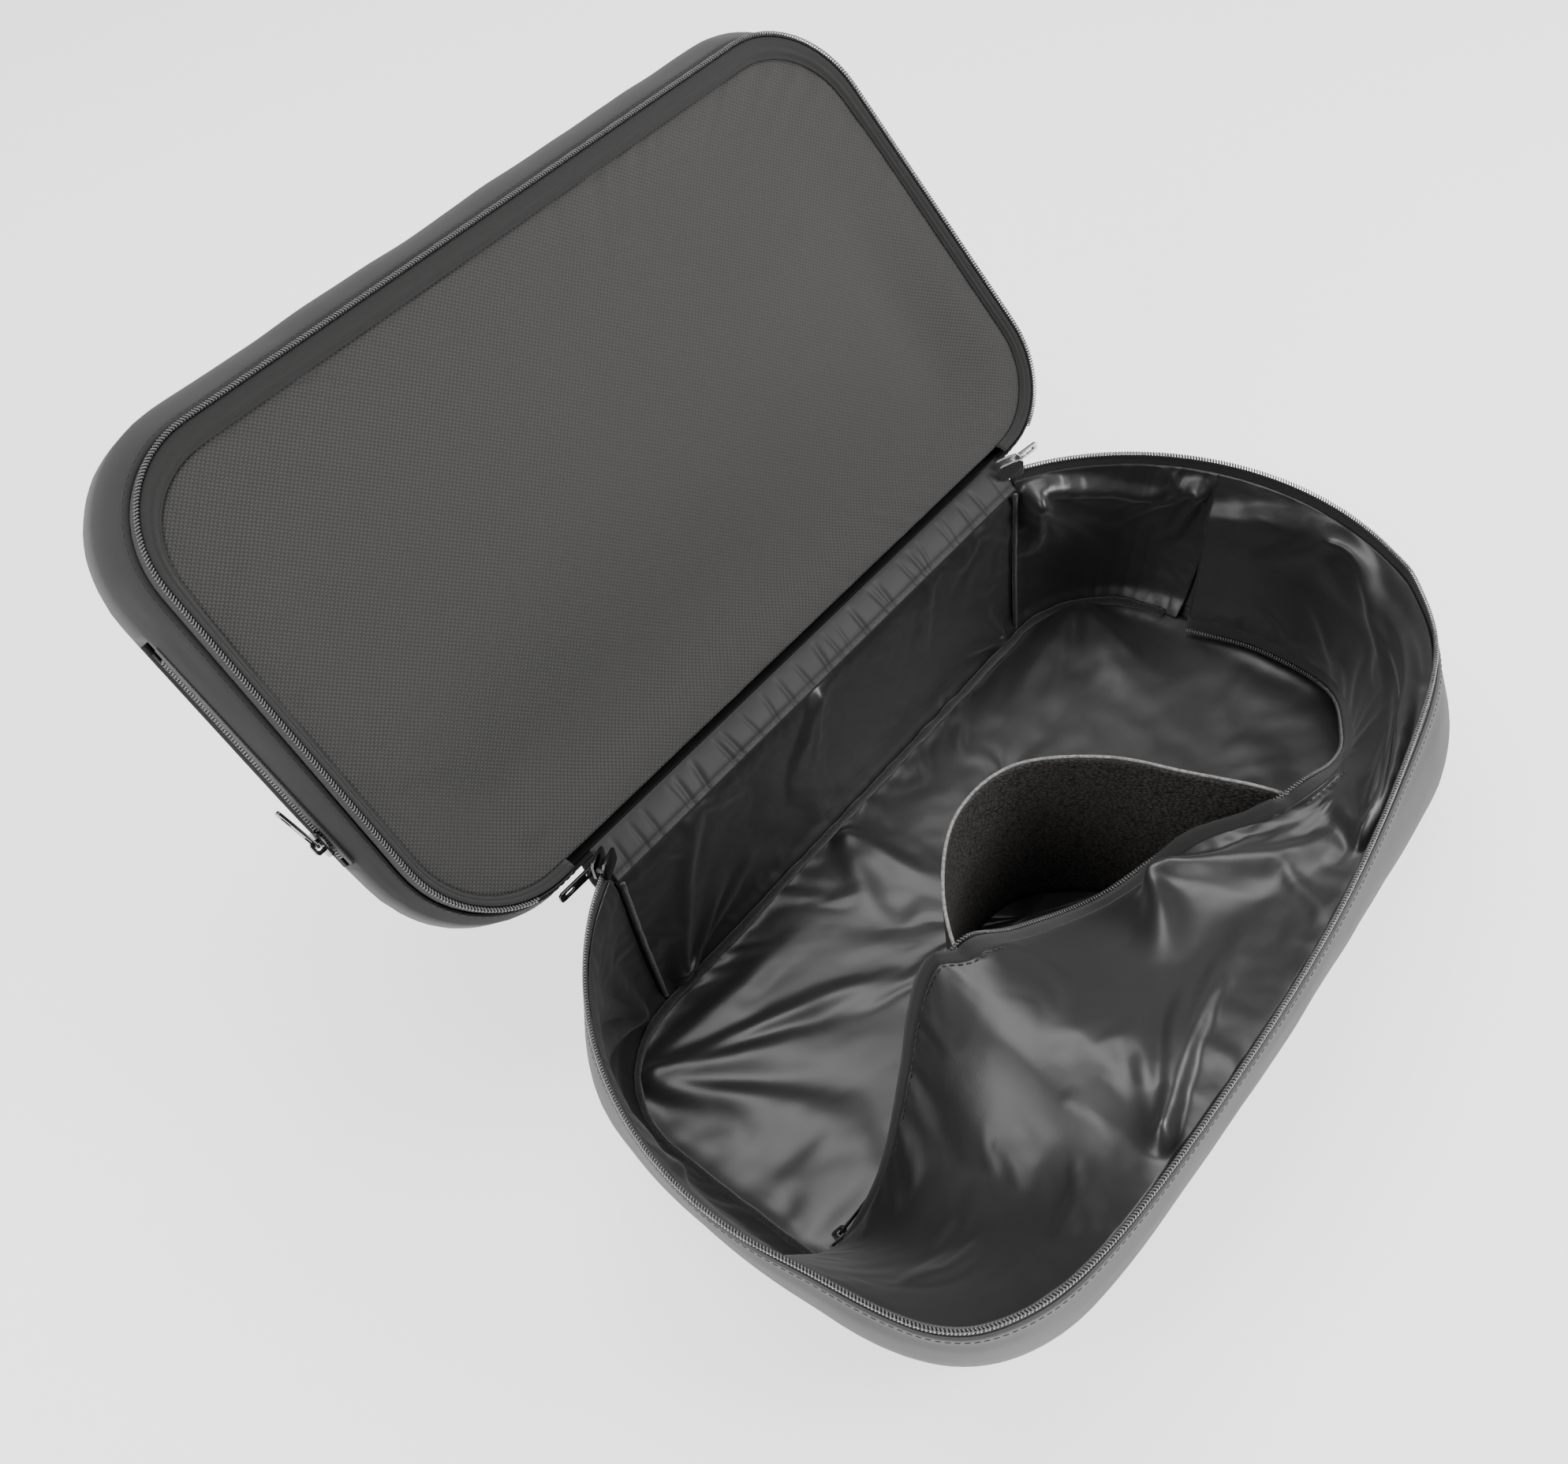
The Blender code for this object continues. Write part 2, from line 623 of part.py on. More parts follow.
def cut_slot(gusset, slot_rows, columns):
    """Leave out the faces where the pocket zip runs along the near end."""
    shape = bmesh.new()
    shape.from_mesh(gusset.data)
    shape.faces.ensure_lookup_table()
    first = round(POCKET_START * OPEN_STEPS)
    last = round(POCKET_END * OPEN_STEPS)
    doomed = [shape.faces[i * columns + k] for i in slot_rows for k in range(first, last)]
    bmesh.ops.delete(shape, geom=doomed, context="FACES")
    shape.to_mesh(gusset.data)
    shape.free()
    gusset.data.shade_smooth()


def pocket_line(share):
    """Point on the pocket zip's straight centre line, in the lid's frame."""
    start = lid_point(POCKET_START + 0.008, 0.5, COIL_INSET)
    end = lid_point(POCKET_END - 0.008, 0.5, COIL_INSET)
    return start.lerp(end, share)


def make_pocket_zip(lid):
    run = (pocket_line(1.0) - pocket_line(0.0)).normalized()
    across = run.cross(Vector((-1.0, 0.0, 0.0))).normalized()
    for name, side in (("inner", -1), ("outer", 1)):
        rows = [[pocket_line(t) + across * side * reach for t in places(0.0, 1.0, 10)]
                for reach in (0.0027, 0.0046)]
        if side > 0:
            rows.reverse()
        sheet(f"pocket_zip_tape_{name}", rows, TAPE, "tape", parent=lid, offset=0.0)
        teeth = [pocket_line(t) + across * side * 0.00155 for t in places(0.0, 1.0, 10)]
        tube(f"pocket_zip_coil_{name}", teeth, 0.00085, "coil", parent=lid)


def make_handle(lid):
    """Webbing carry handle sewn to the outer face, lengthwise in its middle."""
    middle = Vector(((LID_LOW.x + LID_HIGH.x) / 2, LID_LOW.y / 2, 0.0))
    slope = math.atan2(LID_DEPTH_FRONT - LID_DEPTH_HINGE, -LID_LOW.y)
    base = Vector((middle.x, middle.y, lid_depth(middle.y) + LID_DOME))
    across = Vector((0.0, -math.cos(slope), math.sin(slope)))
    lift = Vector((0.0, math.sin(slope), math.cos(slope)))
    half = 0.090
    width = 0.0125
    rows = [[], [], []]
    for t in places(-1.0, 1.0, 20):
        bow = 0.0045 + 0.024 * math.cos(math.pi / 2 * t) ** 1.5
        for row, side in zip(rows, (-1, 0, 1)):
            row.append(base + Vector((half * t, 0.0, 0.0)) + across * width * side + lift * bow)
    sheet("handle_webbing", rows, 0.0018, "webbing", parent=lid, offset=0.0)
    for name, side in (("handle_patch_near", -1), ("handle_patch_far", 1)):
        patch = outline_mesh([round_box(0.036, 0.034, 0.004)], 0.0008)
        obj = add_mesh(name, patch, "webbing", lid)
        spot = base + Vector((side * (half - 0.006), 0.0, 0.0)) + lift * 0.0024
        turn = Matrix((Vector((1, 0, 0)), across * -1.0, lift)).transposed()
        obj.matrix_local = Matrix.Translation(spot) @ turn.to_4x4()


# ---------------------------------------------------------------- sliders and pulls
def slider_mesh(lug_shift):
    """Zip slider: X along its travel (nose at +X), Y out of the bag, Z across the zip."""
    turn = Matrix.Rotation(math.radians(-90), 4, "X")      # outline plane to X and Z, thickness to Y
    nose = 0.5 * SLIDER_LENGTH
    outline = [(-nose, -0.0030), (-nose + 0.0012, -0.0036), (0.0005, -0.5 * SLIDER_WIDTH),
               (nose - 0.0015, -0.5 * SLIDER_WIDTH), (nose, -0.0032), (nose, 0.0032),
               (nose - 0.0015, 0.5 * SLIDER_WIDTH), (0.0005, 0.5 * SLIDER_WIDTH),
               (-nose + 0.0012, 0.0036), (-nose, 0.0030)]
    plate = outline_mesh([outline], SLIDER_PLATE / 2)
    level = (SLIDER_SPACE + SLIDER_PLATE) / 2
    outer = placed(plate, Matrix.Translation((0.0, level, 0.0)) @ turn)
    inner = placed(plate, Matrix.Translation((0.0, -level, 0.0)) @ turn)
    post = outline_mesh([round_box(0.0026, 0.0009, 0.0004, 3)], level)
    post = placed(post, Matrix.Translation((nose - 0.0022, 0.0, 0.0)) @ turn)
    lug_side = [(-0.0028, -0.0014), (0.0028, -0.0014), (0.0028, 0.0016), (0.0018, 0.0022),
                (-0.0018, 0.0022), (-0.0028, 0.0016)]
    tunnel = round_box(0.0025, 0.0021, 0.0006, 3)
    lug = placed(outline_mesh([lug_side, tunnel], 0.0010), Matrix.Translation((0.0, PIVOT_HEIGHT, lug_shift)))
    return joined([outer, post, inner, lug])


def pull_mesh():
    """Pull tab: its bar lies on local Z through the origin, and the tab points along +X."""
    bar = 0.0011
    outer = round_box(PULL_LENGTH, PULL_WIDTH, 0.0016, 4, (PULL_LENGTH / 2 - bar / 2, 0.0))
    window = round_box(0.0052, 0.0028, 0.0006, 3, (bar / 2 + 0.0026, 0.0))
    grip = round_box(0.0050, 0.0022, 0.0012, 4, (PULL_LENGTH - 0.0055, 0.0))
    return placed(outline_mesh([outer, window, grip], PULL_THICKNESS / 2),
                  Matrix.Rotation(math.radians(-90), 4, "X"))


PIVOT_HEIGHT = SLIDER_SPACE / 2 + SLIDER_PLATE + 0.0011


def add_slider(name, parent, spot, travel, out, kind, pull_angle, lug_shift=0.0):
    """A slider at spot in its parent's frame, and its pull tab turned by pull_angle from the travel."""
    across = travel.cross(out)
    slider = add_mesh(f"{name}_slider", slider_mesh(lug_shift), kind, parent)
    slider.matrix_basis = Matrix.Translation(spot) @ Matrix((travel, out, across)).transposed().to_4x4()
    pivot = empty(f"{name}_pull_axis", (0.0, PIVOT_HEIGHT, lug_shift), parent=slider)
    pull = add_mesh(f"{name}_pull", PULL.copy(), kind, pivot)
    pull.rotation_euler = (0.0, 0.0, pull_angle)


def make_rim_sliders():
    ends = (("near", NEAR_ARC_CENTRE, NEAR_ARC_START, 1.0, "black_metal"),
            ("far", FAR_ARC_CENTRE, FAR_ARC_END, -1.0, "bright_metal"))
    for name, centre, angle, way, kind in ends:
        axis = empty(f"{name}_slider_axis", (centre.x, centre.y, RIM_COIL_Z + SLIDER_LIFT))
        coil = tray_point(0.004 if way > 0 else 0.996, RIM_COIL_Z, COIL_INSET)
        radius = (coil.to_2d() - centre).length
        out = Vector((math.cos(angle), math.sin(angle), 0.0))
        travel = Vector((-out.y, out.x, 0.0)) * way
        add_slider(name, axis, out * radius, travel, out, kind, PULL_REST_ANGLE, RIM_LUG_DROP * way)


def make_lining_slider():
    """Slider of the lining's zip, on the near end of its loose edge, in the plane of its tape."""
    place = 1.0 - 0.018
    spot, _ = edge_rule(place)
    travel = (edge_rule(place - 0.02)[0] - spot).normalized()
    tape = front_cloth_point(place, 0.006) - spot
    across = (tape - travel * tape.dot(travel)).normalized()
    axis = empty("lining_slider_axis", spot - across * LINING_SLIDER_LIFT)
    add_slider("lining", axis, Vector((0.0, 0.0, 0.0)), travel, across.cross(travel), "black_metal",
               math.radians(12))


def make_pocket_slider(lid):
    travel = (pocket_line(1.0) - pocket_line(0.0)).normalized()
    axis = empty("pocket_slider_axis", pocket_line(0.09), parent=lid)
    side = Vector((-1.0, 0.0, 0.0))
    out = (side - travel * side.dot(travel)).normalized()
    add_slider("pocket", axis, Vector((0.0, 0.0, 0.0)), travel, out, "black_metal", math.radians(8))


PULL = pull_mesh()
make_tray_shell()
make_rim_zip()
make_lining()
make_bindings()
make_divider()
make_hinge_strip()
LID_HINGE = empty("lid_hinge_axis", HINGE_AXIS, (-LID_OPEN_ANGLE, 0.0, 0.0))
make_lid(LID_HINGE)
make_pocket_zip(LID_HINGE)
make_handle(LID_HINGE)
make_rim_sliders()
make_lining_slider()
make_pocket_slider(LID_HINGE)
bpy.context.view_layer.update()
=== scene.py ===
"""Looks of the golf shoe bag, lying open: neoprene shell, creased satin lining, woven lid panel, coil zips.

Metres, +Z up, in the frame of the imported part: +X runs along the hinge, -Y is the front.
"""

import math
import random

import bmesh
import bpy
from mathutils import Matrix, Vector, noise


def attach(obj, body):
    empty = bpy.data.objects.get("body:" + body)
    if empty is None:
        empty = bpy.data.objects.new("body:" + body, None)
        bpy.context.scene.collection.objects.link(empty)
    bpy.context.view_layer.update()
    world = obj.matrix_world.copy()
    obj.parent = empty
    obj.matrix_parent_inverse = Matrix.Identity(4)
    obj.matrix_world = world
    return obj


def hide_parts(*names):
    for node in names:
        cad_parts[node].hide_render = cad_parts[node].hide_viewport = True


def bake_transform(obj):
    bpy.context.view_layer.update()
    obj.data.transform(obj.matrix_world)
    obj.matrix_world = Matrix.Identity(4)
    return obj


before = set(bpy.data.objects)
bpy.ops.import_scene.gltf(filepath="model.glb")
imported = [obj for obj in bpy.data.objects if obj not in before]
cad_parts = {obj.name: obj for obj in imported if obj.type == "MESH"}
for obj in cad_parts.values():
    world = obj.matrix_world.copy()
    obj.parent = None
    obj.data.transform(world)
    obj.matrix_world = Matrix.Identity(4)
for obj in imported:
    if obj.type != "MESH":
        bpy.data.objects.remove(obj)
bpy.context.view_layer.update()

# ---------------------------------------------------------------- driving dimensions
# They repeat the part's own, apart from these, which suit the shown sheets and differ from it by up to
# 1 mm: WALL_TOP, WALL_FOOT, NEOPRENE, SATIN, TAPE, LID_PANEL_Z and DIVIDER_THICKNESS.
TRAY_HEIGHT = 0.100
WALL_TOP = 0.0930
WALL_FOOT = 0.0137
NEOPRENE = 0.0026
SATIN = 0.0005
TAPE = 0.0006

HINGE_END = 0.135
HINGE_WALL_Y = 0.107
HINGE_AXIS = Vector((0.0, 0.109, 0.103))
LID_OPEN_ANGLE = math.radians(130)

NEAR_ARC_CENTRE = Vector((-0.0750, -0.0220))
NEAR_ARC_END = math.radians(192)
FAR_ARC_CENTRE = Vector((0.0662, 0.0039))
FAR_ARC_START = math.radians(-40)
FRONT_RIM = ((-0.206, -0.097), (-0.186, -0.118), (-0.150, -0.128), (-0.080, -0.130),
             (0.000, -0.126), (0.080, -0.113), (0.130, -0.099))
BASE_LOW = Vector((-0.188, -0.108))
BASE_HIGH = Vector((0.180, 0.106))
BASE_CORNER = 0.054
BASE_HINGE_START = -0.130         # x at which the straight hinge side of the base begins, and ends
BASE_HINGE_END = 0.124
BASE_EDGE_RADIUS = 0.012
WALL_BULGE = 0.005
HINGE_WALL_BULGE = 0.0008

LID_LOW = Vector((-0.193, -0.216))
LID_HIGH = Vector((0.190, 0.0))
LID_CORNER = 0.045
LID_HINGE_END = 0.140
LID_GUSSET_FOOT = 0.009
LID_DEPTH_HINGE = 0.026
LID_DEPTH_FRONT = 0.056
LID_BULGE = 0.009
LID_FACE_OUTSET = 0.003
LID_DOME = 0.006
PIPING_RADIUS = 0.0017
LID_PANEL_Z = 0.0064
POCKET_START = 0.105
POCKET_END = 0.232
POCKET_STOP = 0.008               # from each end of the slot to the end of its coil
POCKET_SLOT = 0.0055            # half the width of the slot that the pocket zip fills

COIL_INSET = 0.0020
RIM_COIL_Z = TRAY_HEIGHT + 0.0009
RIM_STITCH_Z = 0.0968
LID_COIL_Z = 0.0022
TOOTH_PITCH = 0.00125
COIL_WIDTH = 0.0030
COIL_HEIGHT = 0.0021
COIL_WIRE = 0.00030
FINE_COIL = (0.0021, 0.0017)       # width and height of the pocket and floor coils

LINING_INSET = 0.0042
LINING_FOOT_INSET = 0.0082
LINING_TOP_INSET = 0.0026
LINING_FOOT_Z = 0.0095
LINING_TOP_Z = 0.0955
HINGE_LINING_TOP_Z = 0.0935
FRONT_TOP_INSET = 0.0028
FLOOR_Z = 0.0062
SATIN_LIFT = 0.0006               # of the floor satin above FLOOR_Z
DIVIDER_PLAN = ((0.049, -0.091), (0.040, -0.080), (0.029, -0.050), (0.018, -0.018), (-0.005, 0.009),
                (-0.036, 0.013), (-0.066, -0.002), (-0.089, -0.026), (-0.105, -0.058), (-0.113, -0.088))
DIVIDER_TOP = 0.095
DIVIDER_FOOT = 0.0078
DIVIDER_CORNER = 0.030
DIVIDER_THICKNESS = 0.0013

# Loose edge of the front lining: x, y, z and the place along the rim from which the cloth falls to it.
LOOSE_EDGE = ((0.166, 0.030, 0.0125, 0.885), (0.171, -0.005, 0.014, 0.846), (0.160, -0.045, 0.020, 0.800),
              (0.114, -0.072, 0.050, 0.733), (0.075, -0.085, 0.080, 0.667), (0.045, -0.086, 0.099, 0.610),
              (0.026, -0.074, 0.088, 0.579), (0.008, -0.054, 0.075, 0.542), (-0.022, -0.040, 0.066, 0.500),
              (-0.060, -0.029, 0.082, 0.455), (-0.086, -0.024, 0.1005, 0.425),
              (-0.097, -0.014, 0.062, 0.398), (-0.111, -0.017, 0.030, 0.371),
              (-0.126, -0.024, 0.0125, 0.341), (-0.152, -0.032, 0.0140, 0.290),
              (-0.178, -0.028, 0.0145, 0.222))


# ---------------------------------------------------------------- curves and surfaces
def catmull_rom(points, steps=8):
    """Open smooth curve through the points."""
    knots = [Vector(p) for p in points]
    knots = [knots[0] * 2 - knots[1], *knots, knots[-1] * 2 - knots[-2]]
    curve = []
    for a, b, c, d in zip(knots, knots[1:], knots[2:], knots[3:]):
        for step in range(steps):
            t = step / steps
            curve.append(0.5 * (2 * b + (c - a) * t + (2 * a - 5 * b + 4 * c - d) * t ** 2
                                + (3 * b - a - 3 * c + d) * t ** 3))
    return curve + [knots[-2]]


def arc(centre, radius, start, end, steps):
    """Points on an arc, both ends included."""
    angles = [start + (end - start) * i / steps for i in range(steps + 1)]
    return [centre + radius * Vector((math.cos(a), math.sin(a))) for a in angles]


class Polyline:
    """A polyline read by the fraction of its length."""

    def __init__(self, points):
        self.points = [Vector(p) for p in points]
        self.reach = [0.0]
        for a, b in zip(self.points, self.points[1:]):
            self.reach.append(self.reach[-1] + (b - a).length)

    @property
    def length(self):
        return self.reach[-1]

    def at(self, fraction):
        goal = min(max(fraction, 0.0), 1.0) * self.length
        low, high = 0, len(self.points) - 1
        while high - low > 1:
            half = (low + high) // 2
            low, high = (half, high) if self.reach[half] < goal else (low, half)
        span = self.reach[high] - self.reach[low]
        return self.points[low].lerp(self.points[high], (goal - self.reach[low]) / span)


def rounded_rectangle(low, high, radius, first_x, last_x):
    """Rounded rectangle, counterclockwise from (first_x, high.y) round the front to (last_x, high.y)."""
    points = [Vector((first_x, high.y))]
    corners = ((low.x + radius, high.y - radius, 90), (low.x + radius, low.y + radius, 180),
               (high.x - radius, low.y + radius, 270), (high.x - radius, high.y - radius, 360))
    for x, y, start in corners:
        points += arc(Vector((x, y)), radius, math.radians(start), math.radians(start + 90), 12)
    points.append(Vector((last_x, high.y)))
    return [p for i, p in enumerate(points) if i == 0 or (p - points[i - 1]).length > 1e-6]


def closed_pair(front_points, high_y, first_x, last_x):
    """The way round the front, and the straight side along the hinge back to its start."""
    return Polyline(front_points), Polyline([Vector((last_x, high_y)), Vector((first_x, high_y))])


def angle_of(centre, x, y):
    return math.atan2(y - centre.y, x - centre.x)


NEAR_ARC_START = angle_of(NEAR_ARC_CENTRE, -HINGE_END, HINGE_WALL_Y)
NEAR_ARC_RADIUS = (Vector((-HINGE_END, HINGE_WALL_Y)) - NEAR_ARC_CENTRE).length
FAR_ARC_END = angle_of(FAR_ARC_CENTRE, HINGE_END, HINGE_WALL_Y)
FAR_ARC_RADIUS = (Vector((HINGE_END, HINGE_WALL_Y)) - FAR_ARC_CENTRE).length
RIM_KNOTS = (arc(NEAR_ARC_CENTRE, NEAR_ARC_RADIUS, NEAR_ARC_START, NEAR_ARC_END, 9)
             + [Vector(p) for p in FRONT_RIM]
             + arc(FAR_ARC_CENTRE, FAR_ARC_RADIUS, FAR_ARC_START, FAR_ARC_END, 10))
MOUTH = closed_pair(catmull_rom(RIM_KNOTS), HINGE_WALL_Y, -HINGE_END, HINGE_END)
BASE = closed_pair(rounded_rectangle(BASE_LOW, BASE_HIGH, BASE_CORNER, BASE_HINGE_START, BASE_HINGE_END),
                   BASE_HIGH.y, BASE_HINGE_START, BASE_HINGE_END)
LID = closed_pair(rounded_rectangle(LID_LOW, LID_HIGH, LID_CORNER, -LID_HINGE_END, LID_HINGE_END),
                  LID_HIGH.y, -LID_HINGE_END, LID_HINGE_END)


def on_pair(pair, place):
    """Plan point at place: 0 to 1 round the front, 1 to 2 back along the hinge side."""
    place = place % 2.0
    return pair[0].at(place) if place <= 1.0 else pair[1].at(place - 1.0)


def outward(read, place, span=0.004):
    """Outward direction in plan of a closed outline given by read(place)."""
    run = read(place + span) - read(place - span)
    return Vector((run.y, -run.x)).normalized()


def near_hinge(place, blend=0.05):
    """1 along the hinge side, falling to 0 within blend of it."""
    place = place % 2.0
    if place >= 1.0:
        return 1.0
    return max(0.0, 1.0 - min(place, 1.0 - place) / blend) ** 2


def tray_point(place, z, inset=0.0):
    """Point inset from the outer face of the tray wall, at height z."""
    h = z / TRAY_HEIGHT
    bulge = WALL_BULGE + (HINGE_WALL_BULGE - WALL_BULGE) * near_hinge(place)
    swell = bulge * math.sin(math.pi * min(max(h, 0.0), 1.0)) ** 2
    tuck = 0.0
    if z < BASE_EDGE_RADIUS:
        tuck = BASE_EDGE_RADIUS - math.sqrt(BASE_EDGE_RADIUS ** 2 - (BASE_EDGE_RADIUS - z) ** 2)

    def read(s):
        return on_pair(BASE, s).lerp(on_pair(MOUTH, s), h)

    plan = read(place) + outward(read, place) * (swell - tuck - inset)
    return Vector((plan.x, plan.y, z))


def lid_depth(y):
    """Depth of the lid at y, from the rim plane to the outer face."""
    share = min(max(-y / -LID_LOW.y, 0.0), 1.0)
    return LID_DEPTH_HINGE + (LID_DEPTH_FRONT - LID_DEPTH_HINGE) * share


def lid_point(place, f, inset=0.0):
    """Point inset from the gusset's outer face; f is 0 at its foot and 1 at the outer face's edge."""
    plan = on_pair(LID, place)
    share = 1.0 - near_hinge(place, 0.15)
    swell = share * (LID_BULGE * math.sin(math.pi * min(max(f, 0.0), 1.0)) + LID_FACE_OUTSET * max(f, 0.0))
    spot = plan + outward(lambda s: on_pair(LID, s), place) * (swell - inset)
    return Vector((spot.x, spot.y, LID_GUSSET_FOOT + f * (lid_depth(plan.y) - LID_GUSSET_FOOT)))


def flat_point(place, z, inset):
    """Point on the lid's rim band at height z above the rim plane."""
    spot = lid_point(place, 0.0, inset)
    return Vector((spot.x, spot.y, z))


LID_FRAME = Matrix.Translation(HINGE_AXIS) @ Matrix.Rotation(-LID_OPEN_ANGLE, 4, "X")
LID_FRAME_BACK = LID_FRAME.inverted()
LID_MIDDLE = Vector(((LID_LOW.x + LID_HIGH.x) / 2, LID_LOW.y / 2, 0.0))


def to_world(rows):
    """Rows of points from the lid's own frame to the row frame."""
    return [[LID_FRAME @ p for p in row] for row in rows]


def lid_plan(p):
    return tuple((LID_FRAME_BACK @ p).to_2d())


def inward(p, share):
    """Plan point part of the way from p to the lid's middle."""
    return p.x + (LID_MIDDLE.x - p.x) * share, p.y + (LID_MIDDLE.y - p.y) * share


def places(start, end, steps):
    return [start + (end - start) * i / steps for i in range(steps + 1)]


def ring_places(front, back):
    return [i / front for i in range(front)] + [1.0 + i / back for i in range(back)]


def smooth_step(x):
    x = min(max(x, 0.0), 1.0)
    return x * x * (3.0 - 2.0 * x)


def wobble(x, y, scale, seed=0.0):
    """Smooth noise from -1 to 1 with features about scale long."""
    return noise.noise(Vector((x / scale, y / scale, seed)))


# ---------------------------------------------------------------- node materials
class Shader:
    """A Principled material being built: nodes are added and wired by name."""

    def __init__(self, name, colour, roughness, metallic=0.0, sheen=0.0, coat=0.0, specular=0.5):
        self.material = bpy.data.materials.new(name)
        self.material.use_nodes = True
        self.tree = self.material.node_tree
        self.shader = self.tree.nodes["Principled BSDF"]
        for socket, value in (("Base Color", (*colour, 1.0)), ("Roughness", roughness),
                              ("Metallic", metallic), ("Sheen Weight", sheen), ("Sheen Roughness", 0.5),
                              ("Coat Weight", coat), ("Coat Roughness", 0.15),
                              ("Specular IOR Level", specular)):
            self.shader.inputs[socket].default_value = value
        self.material.diffuse_color = (*colour, 1.0)

    def node(self, kind, links=None, **values):
        made = self.tree.nodes.new(kind)
        for key, value in values.items():
            if key in made.inputs:
                made.inputs[key].default_value = value
            else:
                setattr(made, key, value)
        for key, source in (links or {}).items():
            self.tree.links.new(source, made.inputs[key])
        return made

    def math(self, operation, a, b=None):
        made = self.tree.nodes.new("ShaderNodeMath")
        made.operation = operation
        for slot, value in enumerate((a, b)):
            if value is None:
                continue
            if isinstance(value, (int, float)):
                made.inputs[slot].default_value = value
            else:
                self.tree.links.new(value, made.inputs[slot])
        return made.outputs[0]

    def place(self, source):
        return self.node("ShaderNodeTexCoord").outputs[source]

    def noise(self, scale, detail=3.0):
        made = self.node("ShaderNodeTexNoise", {"Vector": self.place("Object")}, Scale=scale, Detail=detail,
                         Roughness=0.55)
        return made.outputs["Fac"]

    def ramp(self, factor, low, high, start=0.3, end=0.7):
        made = self.node("ShaderNodeValToRGB", {"Fac": factor})
        for stop, position, shade in zip(made.color_ramp.elements, (start, end), (low, high)):
            stop.position = position
            stop.color = (*shade, 1.0)
        return made.outputs["Color"]

    def colour(self, output):
        self.tree.links.new(output, self.shader.inputs["Base Color"])

    def roughness(self, factor, low, high):
        made = self.node("ShaderNodeMapRange", {"Value": factor}, **{"To Min": low, "To Max": high})
        self.tree.links.new(made.outputs["Result"], self.shader.inputs["Roughness"])

    def bump(self, height, distance, strength=1.0, under=None):
        made = self.node("ShaderNodeBump", {"Height": height}, Strength=strength, Distance=distance)
        if under is not None:
            self.tree.links.new(under, made.inputs["Normal"])
        self.tree.links.new(made.outputs["Normal"], self.shader.inputs["Normal"])
        return made.outputs["Normal"]

    def threads(self, pitch, across=None):
        """Height of a plain weave whose threads are pitch apart, and its checker, from UVs in metres."""
        uv = self.node("ShaderNodeSeparateXYZ", {"Vector": self.place("UV")})
        u = self.math("DIVIDE", uv.outputs["X"], pitch)
        v = self.math("DIVIDE", uv.outputs["Y"], across or pitch)
        cells = self.math("ADD", self.math("FLOOR", u), self.math("FLOOR", v))
        checker = self.math("FLOORED_MODULO", cells, 2.0)
        warp = self.math("ABSOLUTE", self.math("SINE", self.math("MULTIPLY", u, math.pi)))
        weft = self.math("ABSOLUTE", self.math("SINE", self.math("MULTIPLY", v, math.pi)))
        over = self.math("MULTIPLY", warp, checker)
        under = self.math("MULTIPLY", weft, self.math("SUBTRACT", 1.0, checker))
        return self.math("ADD", over, under), checker


def grey(value, warm=0.0):
    return (value * (1.0 + warm), value, value * (1.0 - warm))


def neoprene_material(name):
    s = Shader(name, grey(0.036), 0.86, sheen=0.22, specular=0.3)
    s.colour(s.ramp(s.noise(9.0, 4.0), grey(0.030), grey(0.044, 0.02)))
    s.roughness(s.noise(60.0), 0.78, 0.93)
    knit = s.bump(s.noise(2600.0, 1.0), 0.00012, 0.55)
    s.bump(s.noise(140.0, 3.0), 0.0003, 0.25, knit)
    return s.material


def satin_material(name, shade=0.014, gloss=0.80, rough=0.0):
    s = Shader(name, grey(shade), 0.38 + rough, sheen=0.14, specular=gloss)
    s.colour(s.ramp(s.noise(14.0, 3.0), grey(shade * 0.8), grey(shade * 1.3, 0.03)))
    s.roughness(s.noise(30.0, 4.0), 0.29 + rough, 0.42 + rough)
    weave, _ = s.threads(0.00032)
    fine = s.bump(weave, 0.00003, 0.35)
    s.bump(s.noise(38.0, 4.0), 0.0008, 0.22, fine)
    return s.material


def woven_material(name):
    s = Shader(name, grey(0.036), 0.62, sheen=0.22, specular=0.45)
    weave, checker = s.threads(0.00105, 0.00095)
    light = s.ramp(weave, grey(0.008, 0.05), grey(0.050, 0.06), 0.05, 0.85)
    dark = s.ramp(weave, grey(0.005, 0.05), grey(0.025, 0.05), 0.05, 0.85)
    both = s.node("ShaderNodeMix", data_type="RGBA")
    for socket, source in ((both.inputs[0], checker), (both.inputs[6], light), (both.inputs[7], dark)):
        s.tree.links.new(source, socket)
    s.colour(both.outputs[2])
    slub = s.bump(s.noise(900.0, 2.0), 0.00008, 0.4)
    s.bump(weave, 0.00022, 0.75, slub)
    return s.material


def tape_material(name, shade=0.024):
    s = Shader(name, grey(shade, 0.03), 0.82, sheen=0.15, specular=0.3)
    weave, _ = s.threads(0.0007, 0.0004)
    s.colour(s.ramp(weave, grey(shade * 0.55), grey(shade * 1.45, 0.03), 0.1, 0.9))
    s.bump(weave, 0.00012, 0.7)
    return s.material


def binding_material(name):
    s = Shader(name, grey(0.022, 0.06), 0.95, sheen=0.5, specular=0.2)
    s.colour(s.ramp(s.noise(1500.0, 2.0), grey(0.014, 0.08), grey(0.042, 0.06)))
    s.bump(s.noise(1900.0, 3.0), 0.0005, 0.9)
    return s.material


def coil_material(name):
    # Partly painted highlight: the coil is black plastic, and its base colour is raised to a grey that
    # stands in for the highlights along its teeth.
    s = Shader(name, grey(0.110), 0.22, coat=0.5, specular=0.9)
    s.roughness(s.noise(900.0, 2.0), 0.18, 0.32)
    return s.material


